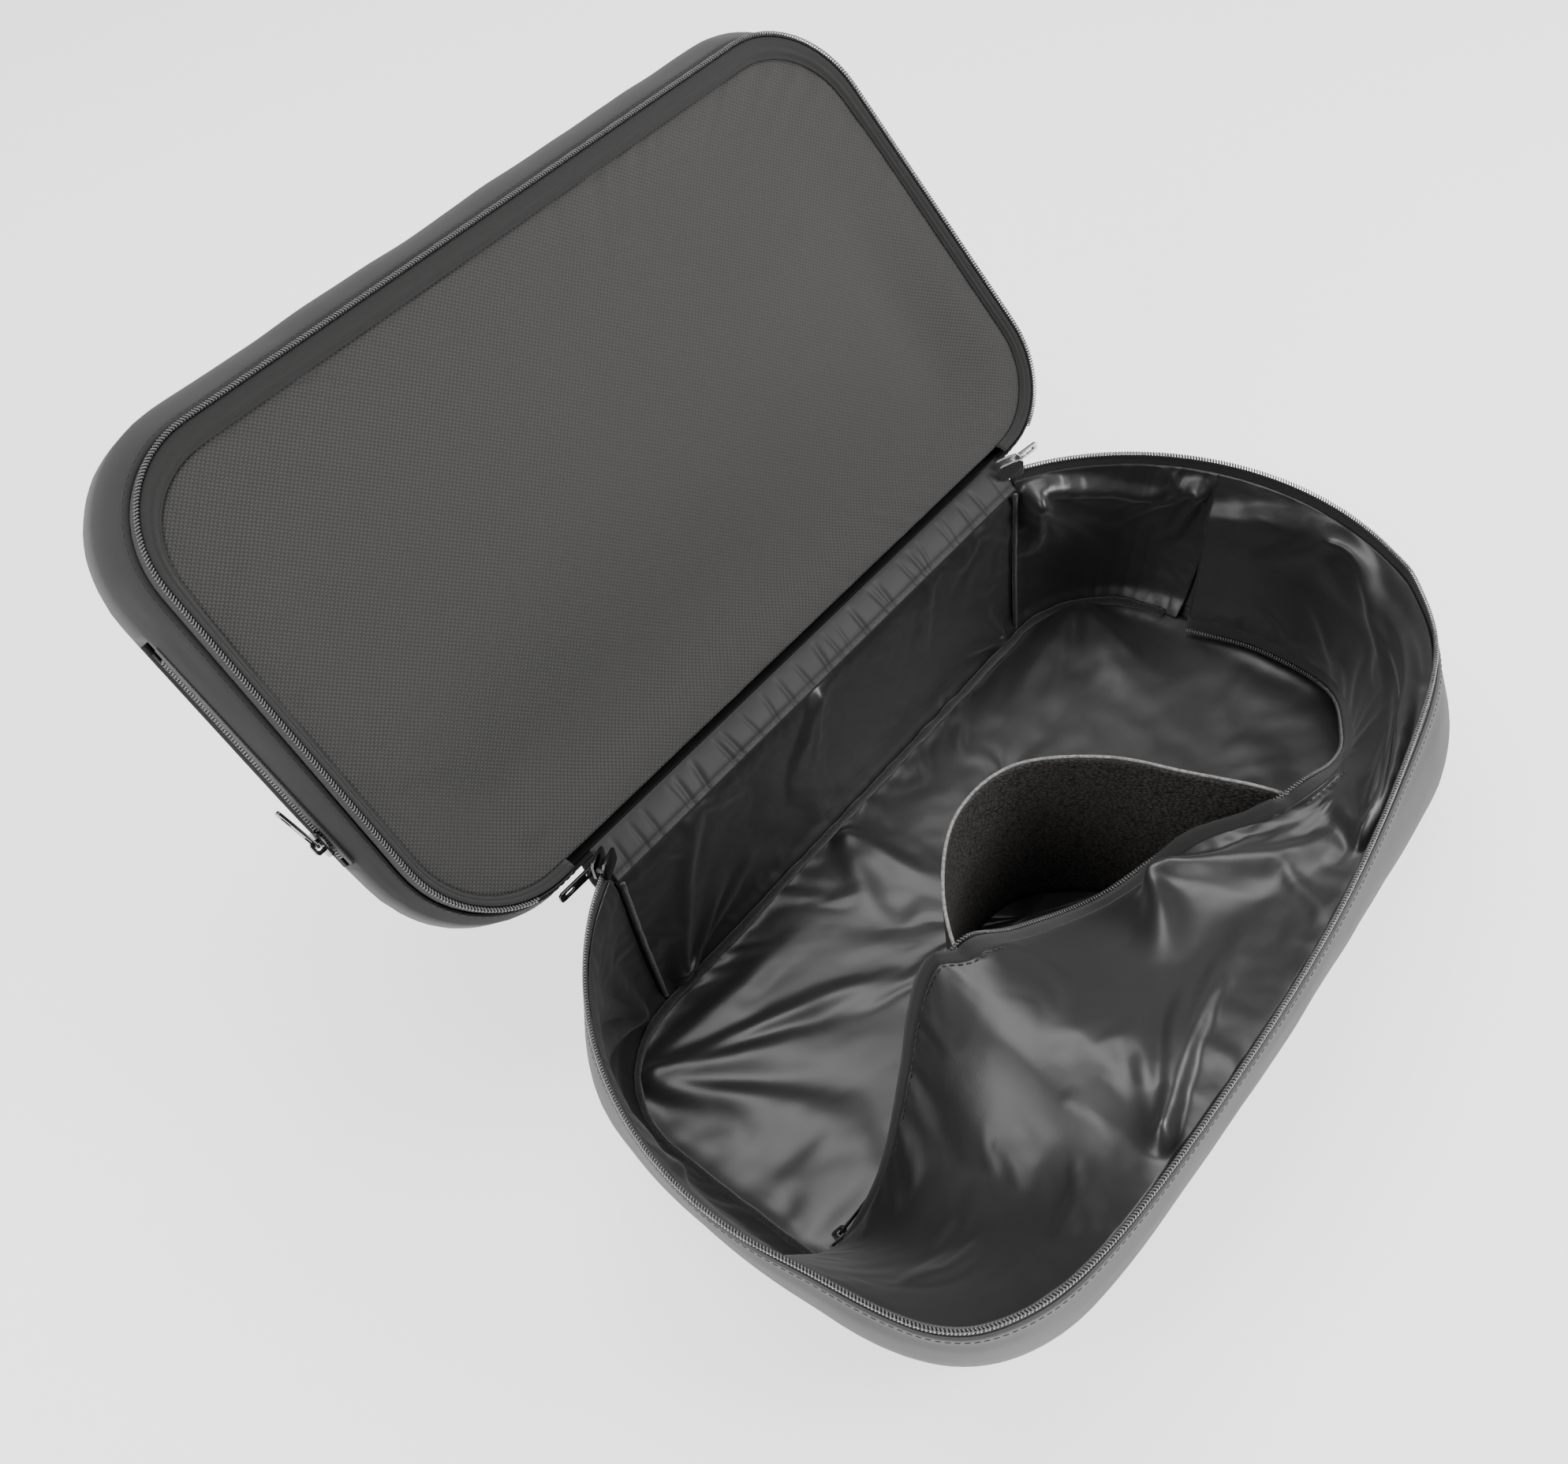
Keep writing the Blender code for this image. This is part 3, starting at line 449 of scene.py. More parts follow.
def leatherette_material(name):
    s = Shader(name, grey(0.045), 0.62, specular=0.42)
    wavy = s.node("ShaderNodeMapping", {"Vector": s.place("UV")}, Scale=(0.55, 1.3, 1.0))
    cells = s.node("ShaderNodeTexVoronoi", {"Vector": wavy.outputs["Vector"]}, feature="DISTANCE_TO_EDGE")
    cells.inputs["Scale"].default_value = 850.0
    cells.inputs["Randomness"].default_value = 1.0
    pebble = s.math("MINIMUM", s.math("MULTIPLY", cells.outputs["Distance"], 3.5), 1.0)
    # Painted highlight and painted shade: the colour ramp makes the pebble tops lighter and the grooves
    # between them darker, as light falling on the grain would.
    s.colour(s.ramp(pebble, grey(0.012, 0.06), grey(0.078, 0.08), 0.05, 0.75))
    grain = s.bump(s.noise(420.0, 3.0), 0.00025, 0.4)
    s.bump(pebble, 0.00022, 0.8, grain)
    return s.material


def cut_edge_material(name):
    s = Shader(name, grey(0.26), 0.85, specular=0.3)
    s.colour(s.ramp(s.noise(700.0, 3.0), grey(0.14, 0.02), grey(0.38, 0.02)))
    s.bump(s.noise(1200.0), 0.0002, 0.5)
    return s.material


def thread_material(name):
    s = Shader(name, grey(0.030), 0.60, sheen=0.2)
    s.bump(s.noise(3500.0, 1.0), 0.00008, 0.6)
    return s.material


def webbing_material(name):
    s = Shader(name, grey(0.028), 0.74, sheen=0.2, specular=0.35)
    weave, _ = s.threads(0.0022, 0.0013)
    s.colour(s.ramp(weave, grey(0.012), grey(0.042, 0.02), 0.1, 0.9))
    s.bump(weave, 0.0004, 0.8)
    return s.material


def metal_material(name, shade, roughness, coat=0.0):
    s = Shader(name, grey(shade), roughness, metallic=1.0, coat=coat, specular=0.6)
    s.colour(s.ramp(s.noise(260.0, 3.0), grey(shade * 0.86), grey(min(shade * 1.12, 1.0))))
    s.roughness(s.noise(700.0, 4.0), roughness * 0.75, roughness * 1.35)
    s.bump(s.noise(1400.0, 2.0), 0.00003, 0.4)
    return s.material


MATERIAL_KINDS = {
    "neoprene": (neoprene_material,), "satin": (satin_material,),
    "strip_satin": (satin_material, 0.016, 0.35, 0.14), "woven": (woven_material,),
    "zip_tape": (tape_material,), "binding": (binding_material,),
    "zip_coil": (coil_material,), "leatherette": (leatherette_material,), "cut_edge": (cut_edge_material,),
    "thread": (thread_material,), "webbing": (webbing_material,), "piping": (tape_material, 0.030),
    "black_metal": (metal_material, 0.035, 0.22, 0.6), "bright_metal": (metal_material, 0.62, 0.30),
}
MATERIALS = {kind: make(kind, *values) for kind, (make, *values) in MATERIAL_KINDS.items()}


# ---------------------------------------------------------------- mesh tools
LEAST_FLAT = 0.0101
LEAST_AREA_SHARE = 0.305          # and no area under 0.3 of the flat size


def add_piece(name, mesh, kind, body, replaced=()):
    """A shown piece with its material, riding on a body and standing for its CAD nodes."""
    piece = bpy.data.objects.new(name, mesh)
    bpy.context.scene.collection.objects.link(piece)
    mesh.materials.clear()
    mesh.materials.append(MATERIALS[kind])
    mesh.shade_smooth()
    if body:
        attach(piece, body)
    if replaced:
        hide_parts(*replaced)
    return piece


def new_mesh(name, points, faces, coords=()):
    """Mesh with, where given, one UV in metres for each corner of its faces."""
    mesh = bpy.data.meshes.new(name)
    mesh.from_pydata([tuple(p) for p in points], [], faces)
    if coords:
        layer = mesh.uv_layers.new(name="cloth")
        for corner, uv in zip(layer.data, coords):
            corner.uv = uv
    return mesh


def band(low, high, count):
    """Faces between two closed rows of count points, whose first indices are low and high."""
    return [(low + k, low + (k + 1) % count, high + (k + 1) % count, high + k) for k in range(count)]


def circle(side, up, radius, count, flat=1.0):
    """Offsets round a section."""
    return [(side * math.cos(a) + up * math.sin(a) * flat) * radius
            for a in (2 * math.pi * k / count for k in range(count))]


def lengths(line):
    total = [0.0]
    for a, b in zip(line, line[1:]):
        total.append(total[-1] + (b - a).length)
    return total


def grid_mesh(name, rows, ring=False, skip=()):
    """Mesh through rows of points, with UVs in metres. skip names cells (row, column) left out."""
    columns = len(rows[0])
    across = lengths(rows[len(rows) // 2] + (rows[len(rows) // 2][:1] if ring else []))
    down = lengths([row[columns // 3] for row in rows])
    faces, coords = [], []
    for i in range(len(rows) - 1):
        for k in range(columns if ring else columns - 1):
            if (i, k) in skip:
                continue
            n = (k + 1) % columns
            faces.append((i * columns + k, i * columns + n, (i + 1) * columns + n, (i + 1) * columns + k))
            coords += [(across[k], down[i]), (across[k + 1], down[i]),
                       (across[k + 1], down[i + 1]), (across[k], down[i + 1])]
    return new_mesh(name, [p for row in rows for p in row], faces, coords)


def thicken(piece, thickness, offset=-1.0):
    solid = piece.modifiers.new("thickness", "SOLIDIFY")
    solid.thickness = thickness
    solid.offset = offset
    solid.use_even_offset = False
    return piece


def disc_mesh(name, rings, centre, flat):
    """Mesh from an outer ring through smaller ones to the centre. flat(point) gives its UVs."""
    count = len(rings[0])
    points = [p for ring in rings for p in ring] + [centre]
    faces = []
    for i in range(len(rings) - 1):
        faces += band(i * count, (i + 1) * count, count)
    last = (len(rings) - 1) * count
    faces += [(last + k, last + (k + 1) % count, len(points) - 1) for k in range(count)]
    return new_mesh(name, points, faces, [flat(points[v]) for face in faces for v in face])


def tube_mesh(name, line, radius, sides=6, cyclic=False, flat=1.0):
    """Cord along the points; radius may be a function of the index, and flat squeezes its section."""
    read = radius if callable(radius) else (lambda i: radius)
    rings = []
    side = Vector((0.0, 0.0, 1.0))
    for i, p in enumerate(line):
        ahead = line[(i + 1) % len(line) if cyclic else min(i + 1, len(line) - 1)]
        behind = line[i - 1 if cyclic else max(i - 1, 0)]
        tangent = (ahead - behind).normalized()
        side = side - tangent * side.dot(tangent)
        if side.length < 1e-4:
            side = tangent.orthogonal()
        side.normalize()
        up = tangent.cross(side)
        rings.append([p + offset for offset in circle(side, up, read(i), sides, flat)])
    points = [p for ring in rings for p in ring]
    faces = []
    for i in range(len(rings) if cyclic else len(rings) - 1):
        faces += band(i * sides, (i + 1) % len(rings) * sides, sides)
    if not cyclic:
        faces.append(tuple(reversed(range(sides))))
        faces.append(tuple(len(points) - sides + k for k in range(sides)))
    around = 0.001 if callable(radius) else radius * 1.05
    coords = [(v // sides * 0.001, v % sides * around) for face in faces for v in face]
    return new_mesh(name, points, faces, coords)


def coil_mesh(name, line, guide, width=COIL_WIDTH, height=COIL_HEIGHT, phase=0.0):
    """The wound coil of a zip along a line: each turn is one tooth.

    guide(fraction) points out of the zip's tape.
    """
    path = Polyline(line)
    turns = int(path.length / TOOTH_PITCH)
    steps = 9
    points = []
    for i in range(turns * steps + 1):
        share = i / (turns * steps)
        ahead = (path.at(min(share + 0.002, 1.0)) - path.at(max(share - 0.002, 0.0))).normalized()
        side = guide(share)
        side = (side - ahead * side.dot(ahead)).normalized()
        up = ahead.cross(side)
        turn = 2 * math.pi * (i / steps) + phase
        lean = 0.22 * TOOTH_PITCH * math.sin(2 * turn)
        points.append(path.at(share) + side * (math.cos(turn) * (width / 2 - COIL_WIRE))
                      + up * (math.sin(turn) * (height / 2 - COIL_WIRE)) + ahead * lean)
    return tube_mesh(name, points, COIL_WIRE, 5)


def stitch_mesh(name, line, pitch=0.0030, length=0.0020, radius=0.00024):
    """A row of stitches along the points."""
    path = Polyline(line)
    count = max(int(path.length / pitch), 1)
    points, faces, sides = [], [], 5
    for i in range(count):
        middle = (i + 0.5) / count
        reach = length / 2 / path.length
        a, b = path.at(middle - reach), path.at(middle + reach)
        tangent = (b - a).normalized()
        side = tangent.orthogonal().normalized()
        up = tangent.cross(side)
        start = len(points)
        for share, size in ((0.0, 0.35), (0.18, 1.0), (0.82, 1.0), (1.0, 0.35)):
            centre = a.lerp(b, share)
            points += [centre + offset for offset in circle(side, up, radius * size, sides)]
        for ring in range(3):
            faces += band(start + ring * sides, start + (ring + 1) * sides, sides)
        faces.append(tuple(start + k for k in reversed(range(sides))))
        faces.append(tuple(start + 3 * sides + k for k in range(sides)))
    return new_mesh(name, points, faces)


def cut(rows, spare=0.0, ring=False):
    """Flat width, length and area that the cloth was cut to, from its place and its spare share."""
    grow = 1.0 + spare
    closed = [row + row[:1] for row in rows] if ring else rows
    width = max(lengths(row)[-1] for row in closed) * grow
    height = max(lengths(list(column))[-1] for column in zip(*rows)) * grow
    area = 0.0
    for low, high in zip(closed, closed[1:]):
        for a, b, c, d in zip(low, low[1:], high[1:], high):
            area += (c - a).cross(d - b).length / 2
    size = max(width, LEAST_FLAT), max(height, LEAST_FLAT)
    return size, max(min(area * grow ** 2, size[0] * size[1]), LEAST_AREA_SHARE * size[0] * size[1])


def normals_of(rows, ring=False):
    """Outward direction at each point of a grid."""
    out = []
    columns = len(rows[0])
    for i, row in enumerate(rows):
        line = []
        for k in range(columns):
            right = row[(k + 1) % columns if ring else min(k + 1, columns - 1)]
            left = row[k - 1 if ring else max(k - 1, 0)]
            high, low = rows[min(i + 1, len(rows) - 1)][k], rows[max(i - 1, 0)][k]
            line.append((right - left).cross(high - low).normalized())
        out.append(line)
    return out


def lifted(rows, rule, ring=False):
    """The grid with each point moved along its normal by rule(row share, column share, point)."""
    out = []
    normals = normals_of(rows, ring)
    for i, row in enumerate(rows):
        v = i / (len(rows) - 1)
        out.append([p + normals[i][k] * rule(v, k / (len(row) - 1), p) for k, p in enumerate(row)])
    return out


def ridge(x, y, start, end, width, height):
    """A soft fold from start, where it is narrow, to end, where it has widened and died away."""
    run_x, run_y = end[0] - start[0], end[1] - start[1]
    length = math.hypot(run_x, run_y)
    along = ((x - start[0]) * run_x + (y - start[1]) * run_y) / length ** 2
    if not -0.05 < along < 1.0:
        return 0.0
    across = (-(x - start[0]) * run_y + (y - start[1]) * run_x) / length
    spread = width * (0.30 + 0.70 * max(along, 0.0))
    return (height * math.exp(-(across / spread) ** 2) * smooth_step(along / 0.12)
            * smooth_step((1.0 - along) / 0.6))


def fan(origin, angles, reach, width, height, seed):
    """Folds that spread from one point, as cloth does where it is caught in a corner."""
    rng = random.Random(seed)
    low, high, count = angles
    folds = []
    for i in range(count):
        turn = math.radians(low + (high - low) * (i + rng.uniform(0.15, 0.85)) / count)
        length = reach * rng.uniform(0.65, 1.1)
        end = (origin[0] + length * math.cos(turn), origin[1] + length * math.sin(turn))
        folds.append((origin, end, width * rng.uniform(0.6, 1.3), height * rng.uniform(0.5, 1.2)))
    return folds


def folded(x, y, folds):
    return sum(ridge(x, y, *fold) for fold in folds)


def gathers(run, away, seed, height=0.0011, pitch=0.007, reach=0.010):
    """Small gathers beside a seam: run is the place along it and away the distance from it."""
    return height * abs(wobble(run, 0.0, pitch, seed)) * math.exp(-away / reach) * smooth_step(away / 0.002)


# ---------------------------------------------------------------- creased cloth
CREASE_FRAMES = 22


def crease(piece, held, spare, side, room, stiffness=4.0, free=None):
    """Cloth simulation: the sheet has spare more cloth than its place and buckles between its held edges.

    side(point) is the way that it may stand out and room how far; free(point) scales it, 0 to 1.
    """
    mesh = piece.data
    before = [v.co.copy() for v in mesh.vertices]
    start = [p + side(p) * (0.0006 * wobble(p.x + p.z, p.y - p.z, 0.009, 3.0)) for p in before]
    for vertex, spot in zip(mesh.vertices, start):
        vertex.co = spot
    group = piece.vertex_groups.new(name="held")
    group.add(held, 1.0, "REPLACE")
    cloth = piece.modifiers.new("crease", "CLOTH")
    settings = cloth.settings
    settings.vertex_group_mass = "held"
    settings.quality = 6
    settings.mass = 0.12
    settings.tension_stiffness = settings.compression_stiffness = 18.0
    settings.shear_stiffness = 6.0
    settings.bending_stiffness = stiffness
    settings.air_damping = 4.0
    settings.shrink_min = -spare
    settings.effector_weights.gravity = 0.0
    cloth.collision_settings.use_collision = False
    cloth.point_cache.frame_end = CREASE_FRAMES
    scene = bpy.context.scene
    for step in range(1, CREASE_FRAMES + 1):
        scene.frame_set(step)
    shaped = piece.evaluated_get(bpy.context.evaluated_depsgraph_get()).to_mesh()
    after = [v.co.copy() for v in shaped.vertices]
    piece.modifiers.remove(cloth)
    scene.frame_set(1)
    for vertex, rest, spot in zip(mesh.vertices, before, after):
        move = spot - rest
        out = side(rest)
        rise = move.dot(out)
        slide = move - out * rise
        if slide.length > room * 0.4:
            slide *= room * 0.4 / slide.length
        rise = rise if rise > 0 else -0.4 * rise
        rise = room * math.tanh(rise / room)
        scale = free(rest) if free else 1.0
        vertex.co = rest + (slide + out * rise) * scale
    piece.vertex_groups.clear()


def finish_satin(piece):
    """One subdivision, so that folds are round, then the satin's thickness; it rides on the tray."""
    finer = piece.modifiers.new("finer", "SUBSURF")
    finer.levels = finer.render_levels = 1
    thicken(piece, SATIN, 0.0)
    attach(piece, "tray")


def border(rows_count, columns):
    """Indices of a grid's outer points."""
    return [i * columns + k for i in range(rows_count) for k in range(columns)
            if i in (0, rows_count - 1) or k in (0, columns - 1)]


# ---------------------------------------------------------------- tray shell
def tray_wall_height(v, u, p):
    """Soft dents and swells of the neoprene wall."""
    around = math.atan2(p.y, p.x) * 0.18
    keep = 1.0 - near_hinge(u * 1.6 if u * 1.6 < 1.0 else 1.0)
    rim = math.exp(-((p.z - 0.084) / 0.0045) ** 2) * (0.6 + 0.6 * wobble(around, 0.0, 0.07, 5.0))
    swell = 1.5 * wobble(around, p.z, 0.06, 1.0) + 0.5 * wobble(around, p.z * 2.0, 0.03, 2.0)
    seam = -0.8 * math.exp(-((p.z - WALL_FOOT) / 0.0025) ** 2)
    edge = -1.1 * smooth_step((p.z - (WALL_TOP - 0.0020)) / 0.0020)
    inside = smooth_step((WALL_TOP - p.z) / 0.02) * smooth_step((p.z - WALL_FOOT) / 0.02)
    return 0.001 * (swell * inside * 0.75 * (0.3 + 0.7 * keep) - 0.9 * rim + seam + edge)


def make_tray_shell():
    ring = ring_places(230, 40)
    heights = [WALL_FOOT, WALL_FOOT + 0.0012, *places(WALL_FOOT + 0.003, 0.088, 22),
               0.0895, 0.0908, 0.0918, 0.0925, WALL_TOP]
    rows = lifted([[tray_point(s, z) for s in ring] for z in heights], tray_wall_height, ring=True)
    wall = thicken(add_piece("tray_wall_neoprene", grid_mesh("tray_wall_neoprene", rows, ring=True),
                             "neoprene", "tray", ("tray_wall",)), NEOPRENE)
    seam = [p + (p - Vector((0.0, 0.0, p.z))).normalized() * 0.0001 for p in rows[-6]]
    stitches = add_piece("tray_rim_stitches", stitch_mesh("tray_rim_stitches", seam[:231]), "thread", "tray")

    edge = [WALL_FOOT - 0.0001, *(BASE_EDGE_RADIUS * part for part in (0.85, 0.6, 0.35, 0.18, 0.07, 0.01)),
            0.0]
    rings = [[tray_point(s, z, 0.0008 if i == 0 else 0.0) for s in ring] for i, z in enumerate(edge)]
    centre = Vector(((BASE_LOW.x + BASE_HIGH.x) / 2, (BASE_LOW.y + BASE_HIGH.y) / 2, 0.0))
    outer = rings[-1]
    rings += [[p.lerp(centre, share) for p in outer] for share in (0.15, 0.4, 0.7)]
    rings = [list(reversed(ring_points)) for ring_points in rings]
    mesh = disc_mesh("tray_bottom_neoprene", rings, centre, lambda p: (p.x, p.y))
    bottom = thicken(add_piece("tray_bottom_neoprene", mesh, "neoprene", "tray",
                               ("tray_bottom_panel", "tray_base_board")), NEOPRENE)


def make_rim_zip():
    along = places(0.0, 1.0, 260)
    levels = ((0.0916, 0.0022), (0.0940, 0.0015), (0.0965, 0.0016), (0.0990, 0.0017), (0.1003, 0.0018))
    rows = [[tray_point(s, z, inset) for s in along] for z, inset in levels]
    tape = thicken(add_piece("rim_zip_tape", grid_mesh("rim_zip_tape", rows), "zip_tape", "tray",
                             ("tray_zip_tape",)), TAPE)
    line = [tray_point(s, RIM_COIL_Z, COIL_INSET) for s in places(0.006, 0.994, 420)]
    coil = add_piece("rim_zip_coil", coil_mesh("rim_zip_coil", line, lambda share: Vector((0.0, 0.0, 1.0))),
                     "zip_coil", "tray", ("tray_zip_coil",))
    seam = [tray_point(s, RIM_STITCH_Z, 0.0014) for s in places(0.004, 0.996, 260)]
    stitches = add_piece("rim_tape_stitches", stitch_mesh("rim_tape_stitches", seam, 0.0024, 0.0016, 0.0002),
                         "thread", "tray")


# ---------------------------------------------------------------- lining
def sewn(t, low=0.06, high=0.05):
    """0 at both sewn ends of a run from 0 to 1, and 1 between them."""
    return smooth_step(t / low) * smooth_step((1 - t) / high)


def lining_rows(start, end, columns, high=LINING_TOP_Z, count=36):
    """Rows of a wall lining from its foot at the floor seam up to the zip tape."""
    rows = []
    for i, z in enumerate(places(LINING_FOOT_Z, high, count)):
        t = i / count
        inset = LINING_FOOT_INSET + (LINING_INSET - LINING_FOOT_INSET) * smooth_step(t * 9.0)
        inset = inset + (LINING_TOP_INSET - inset) * smooth_step((t - 0.90) / 0.10)
        rows.append([tray_point(s, z, inset) for s in places(start, end, columns)])
    return rows


def satin_panel(name, rows, spare, room, nodes, rule,
                free=None, stiffness=4.0, side=None):
    """A creased satin panel: folds by rule first, then cloth simulation between its sewn edges."""
    rows = lifted(rows, rule)
    normals = [n for line in normals_of(rows) for n in line]
    mesh = grid_mesh(name, rows)
    piece = add_piece(name, mesh, "satin", None, nodes)
    lookup = {tuple(round(c, 6) for c in v.co): n for v, n in zip(mesh.vertices, normals)}
    default = side or (lambda p: -lookup[tuple(round(c, 6) for c in p)])
    crease(piece, border(len(rows), len(rows[0])), spare, default, room, free=free, stiffness=stiffness)
    finish_satin(piece)
    return piece


def make_wall_linings():
    hinge_fans = (fan((-0.124, 0.010), (22, 80, 6), 0.085, 0.0062, 0.0036, 3)
                  + fan((0.116, 0.012), (112, 160, 4), 0.065, 0.0070, 0.0026, 4)
                  + fan((-0.010, 0.091), (228, 275, 3), 0.050, 0.0060, 0.0018, 5))

    def hinge_folds(v, u, p):
        small = (gathers(p.x, HINGE_LINING_TOP_Z - p.z, 41.0)
                 + gathers(p.x, p.z - LINING_FOOT_Z, 42.0, 0.0008))
        return -(folded(p.x, p.z, hinge_fans) + small) * (sewn(v) * sewn(u, 0.03, 0.03))

    rows = lining_rows(1.002, 1.998, 150, HINGE_LINING_TOP_Z)
    satin_panel("hinge_wall_satin", rows, 0.014, 0.005, ("hinge_wall_lining",), hinge_folds)

    near_fans = (fan((0.010, 0.012), (38, 84, 4), 0.085, 0.0065, 0.0034, 6)
                 + fan((0.115, 0.090), (200, 262, 4), 0.070, 0.0075, 0.0026, 7))

    def near_folds(v, u, p):
        x = u * 0.150
        small = gathers(x, LINING_TOP_Z - p.z, 43.0) + gathers(x, p.z - LINING_FOOT_Z, 44.0, 0.0009)
        return -(folded(x, p.z, near_fans) + small) * (sewn(v) * smooth_step(u / 0.04))

    rows = lining_rows(0.002, 0.215, 90)
    satin_panel("near_end_satin", rows, 0.018, 0.006, ("near_end_lining",), near_folds)

    far_fans = (fan((0.082, 0.092), (190, 262, 6), 0.075, 0.0070, 0.0056, 8)
                + fan((0.006, 0.090), (278, 340, 4), 0.060, 0.0065, 0.0040, 9))

    def far_folds(v, u, p):
        x = u * 0.086
        small = gathers(x, LINING_TOP_Z - p.z, 45.0, 0.0018) + gathers(x, p.z - LINING_FOOT_Z, 46.0, 0.0010)
        return -(folded(x, p.z, far_fans) + small) * sewn(v)

    rows = lining_rows(0.880, 0.998, 80)
    satin_panel("far_end_satin", rows, 0.030, 0.009, ("far_end_lining",), far_folds)


def make_floor_lining():
    """The satin floor, creased between the seam all round and its middle."""
    ring = ring_places(190, 70)
    outer = [tray_point(s, LINING_FOOT_Z, 0.0062) for s in ring]
    middle = Vector((-0.008, -0.001, FLOOR_Z + SATIN_LIFT))
    run = lengths(outer)
    floor_fans = (fan((-0.170, 0.086), (-72, 2, 7), 0.125, 0.0100, 0.0034, 12)
                  + fan((0.160, 0.088), (185, 262, 5), 0.095, 0.0095, 0.0024, 13)
                  + fan((-0.020, 0.096), (232, 300, 4), 0.060, 0.0085, 0.0018, 14))
    rings = []
    shares = [0.0, 0.015] + [0.03 + 0.91 * (i / 34) ** 1.15 for i in range(35)]
    for share in shares:
        line = []
        for k, p in enumerate(outer):
            q = p.lerp(Vector((middle.x, middle.y, p.z)), share)
            q.z = FLOOR_Z + SATIN_LIFT + 0.0030 * max(0.0, 1.0 - share / 0.05)
            swell = wobble(q.x, q.y, 0.055, 8.0) + 0.6 * abs(wobble(q.x + q.y, q.y - q.x, 0.035, 9.0))
            q.z += (0.0012 * max(swell, 0.0) + folded(q.x, q.y, floor_fans)) * smooth_step(share / 0.06)
            q.z += gathers(run[k], share * 0.09, 47.0, 0.0020, 0.013, 0.009)
            line.append(q)
        rings.append(line)
    mesh = disc_mesh("floor_satin", rings, middle, lambda p: (p.x, p.y))
    piece = add_piece("floor_satin", mesh, "satin", None, ("floor_lining",))
    crease(piece, list(range(len(ring))), 0.008, lambda p: Vector((0.0, 0.0, 1.0)), 0.0035)
    finish_satin(piece)


class LooseEdge:
    """Smooth loose edge, read by its knots' order so that each knot keeps its place on the rim."""

    def __init__(self, knots, steps=6):
        self.curve = catmull_rom(knots, steps)

    def at(self, u):
        position = min(max(u, 0.0), 1.0) * (len(self.curve) - 1)
        i = min(int(position), len(self.curve) - 2)
        return self.curve[i].lerp(self.curve[i + 1], position - i)


LOOSE_CURVE = LooseEdge(LOOSE_EDGE)
DIVIDER_CURVE = Polyline(catmull_rom(DIVIDER_PLAN, 6))


def edge_rule(u):
    spot = LOOSE_CURVE.at(u)
    return Vector(spot[:3]), spot[3]


def divider_height(place):
    """Top edge of the divider; both its ends are rounded off."""
    end = min(place, 1.0 - place) * DIVIDER_CURVE.length
    if end >= DIVIDER_CORNER:
        return DIVIDER_TOP
    drop = DIVIDER_CORNER - math.sqrt(DIVIDER_CORNER ** 2 - (DIVIDER_CORNER - end) ** 2)
    return DIVIDER_TOP - drop * 0.55


def nearest_divider(spot):
    """Distance in plan to the divider and its height there."""
    plan = Vector((spot.x, spot.y))
    i = min(range(len(DIVIDER_CURVE.points)), key=lambda k: (plan - DIVIDER_CURVE.points[k]).length_squared)
    height = divider_height(DIVIDER_CURVE.reach[i] / DIVIDER_CURVE.length)
    return (plan - DIVIDER_CURVE.points[i]).length, height


def front_cloth_point(u, reach, rim_z=0.0905, rim_inset=LINING_INSET):
    """Point of the front lining: reach metres from its loose edge towards the rim."""
    edge, place = edge_rule(u)
    rim = tray_point(place, rim_z, rim_inset)
    share = min(reach / (rim - edge).length, 1.0)
    spot = edge.lerp(rim, share)
    if share < 0.97:
        distance, height = nearest_divider(spot)
        spot.z = max(spot.z, height + 0.0035 - max(0.0, distance - 0.008) * 1.2)
    return spot


class Prop:
    """Height at which the divider holds up cloth above it, kept for small squares of the plan."""

    STEP = 0.003

    def __init__(self):
        self.known = {}

    def at(self, spot):
        cell = round(spot.x / self.STEP), round(spot.y / self.STEP)
        if cell not in self.known:
            distance, height = nearest_divider(Vector((cell[0] * self.STEP, cell[1] * self.STEP, 0.0)))
            self.known[cell] = height + 0.0030 - 1.5 * distance
        return self.known[cell]


def taut(rows, passes):
    """Pull a sheet smooth between its fixed edges, over the divider that holds it up."""
    prop = Prop()
    for turn in range(passes):
        smooth = [list(row) for row in rows]
        for i in range(1, len(rows) - 1):
            for k in range(1, len(rows[0]) - 1):
                spot = (rows[i - 1][k] + rows[i + 1][k] + rows[i][k - 1] + rows[i][k + 1]) / 4
                if turn < passes - 5:
                    spot.z = max(spot.z, prop.at(spot))
                smooth[i][k] = spot
        rows = smooth
    return rows


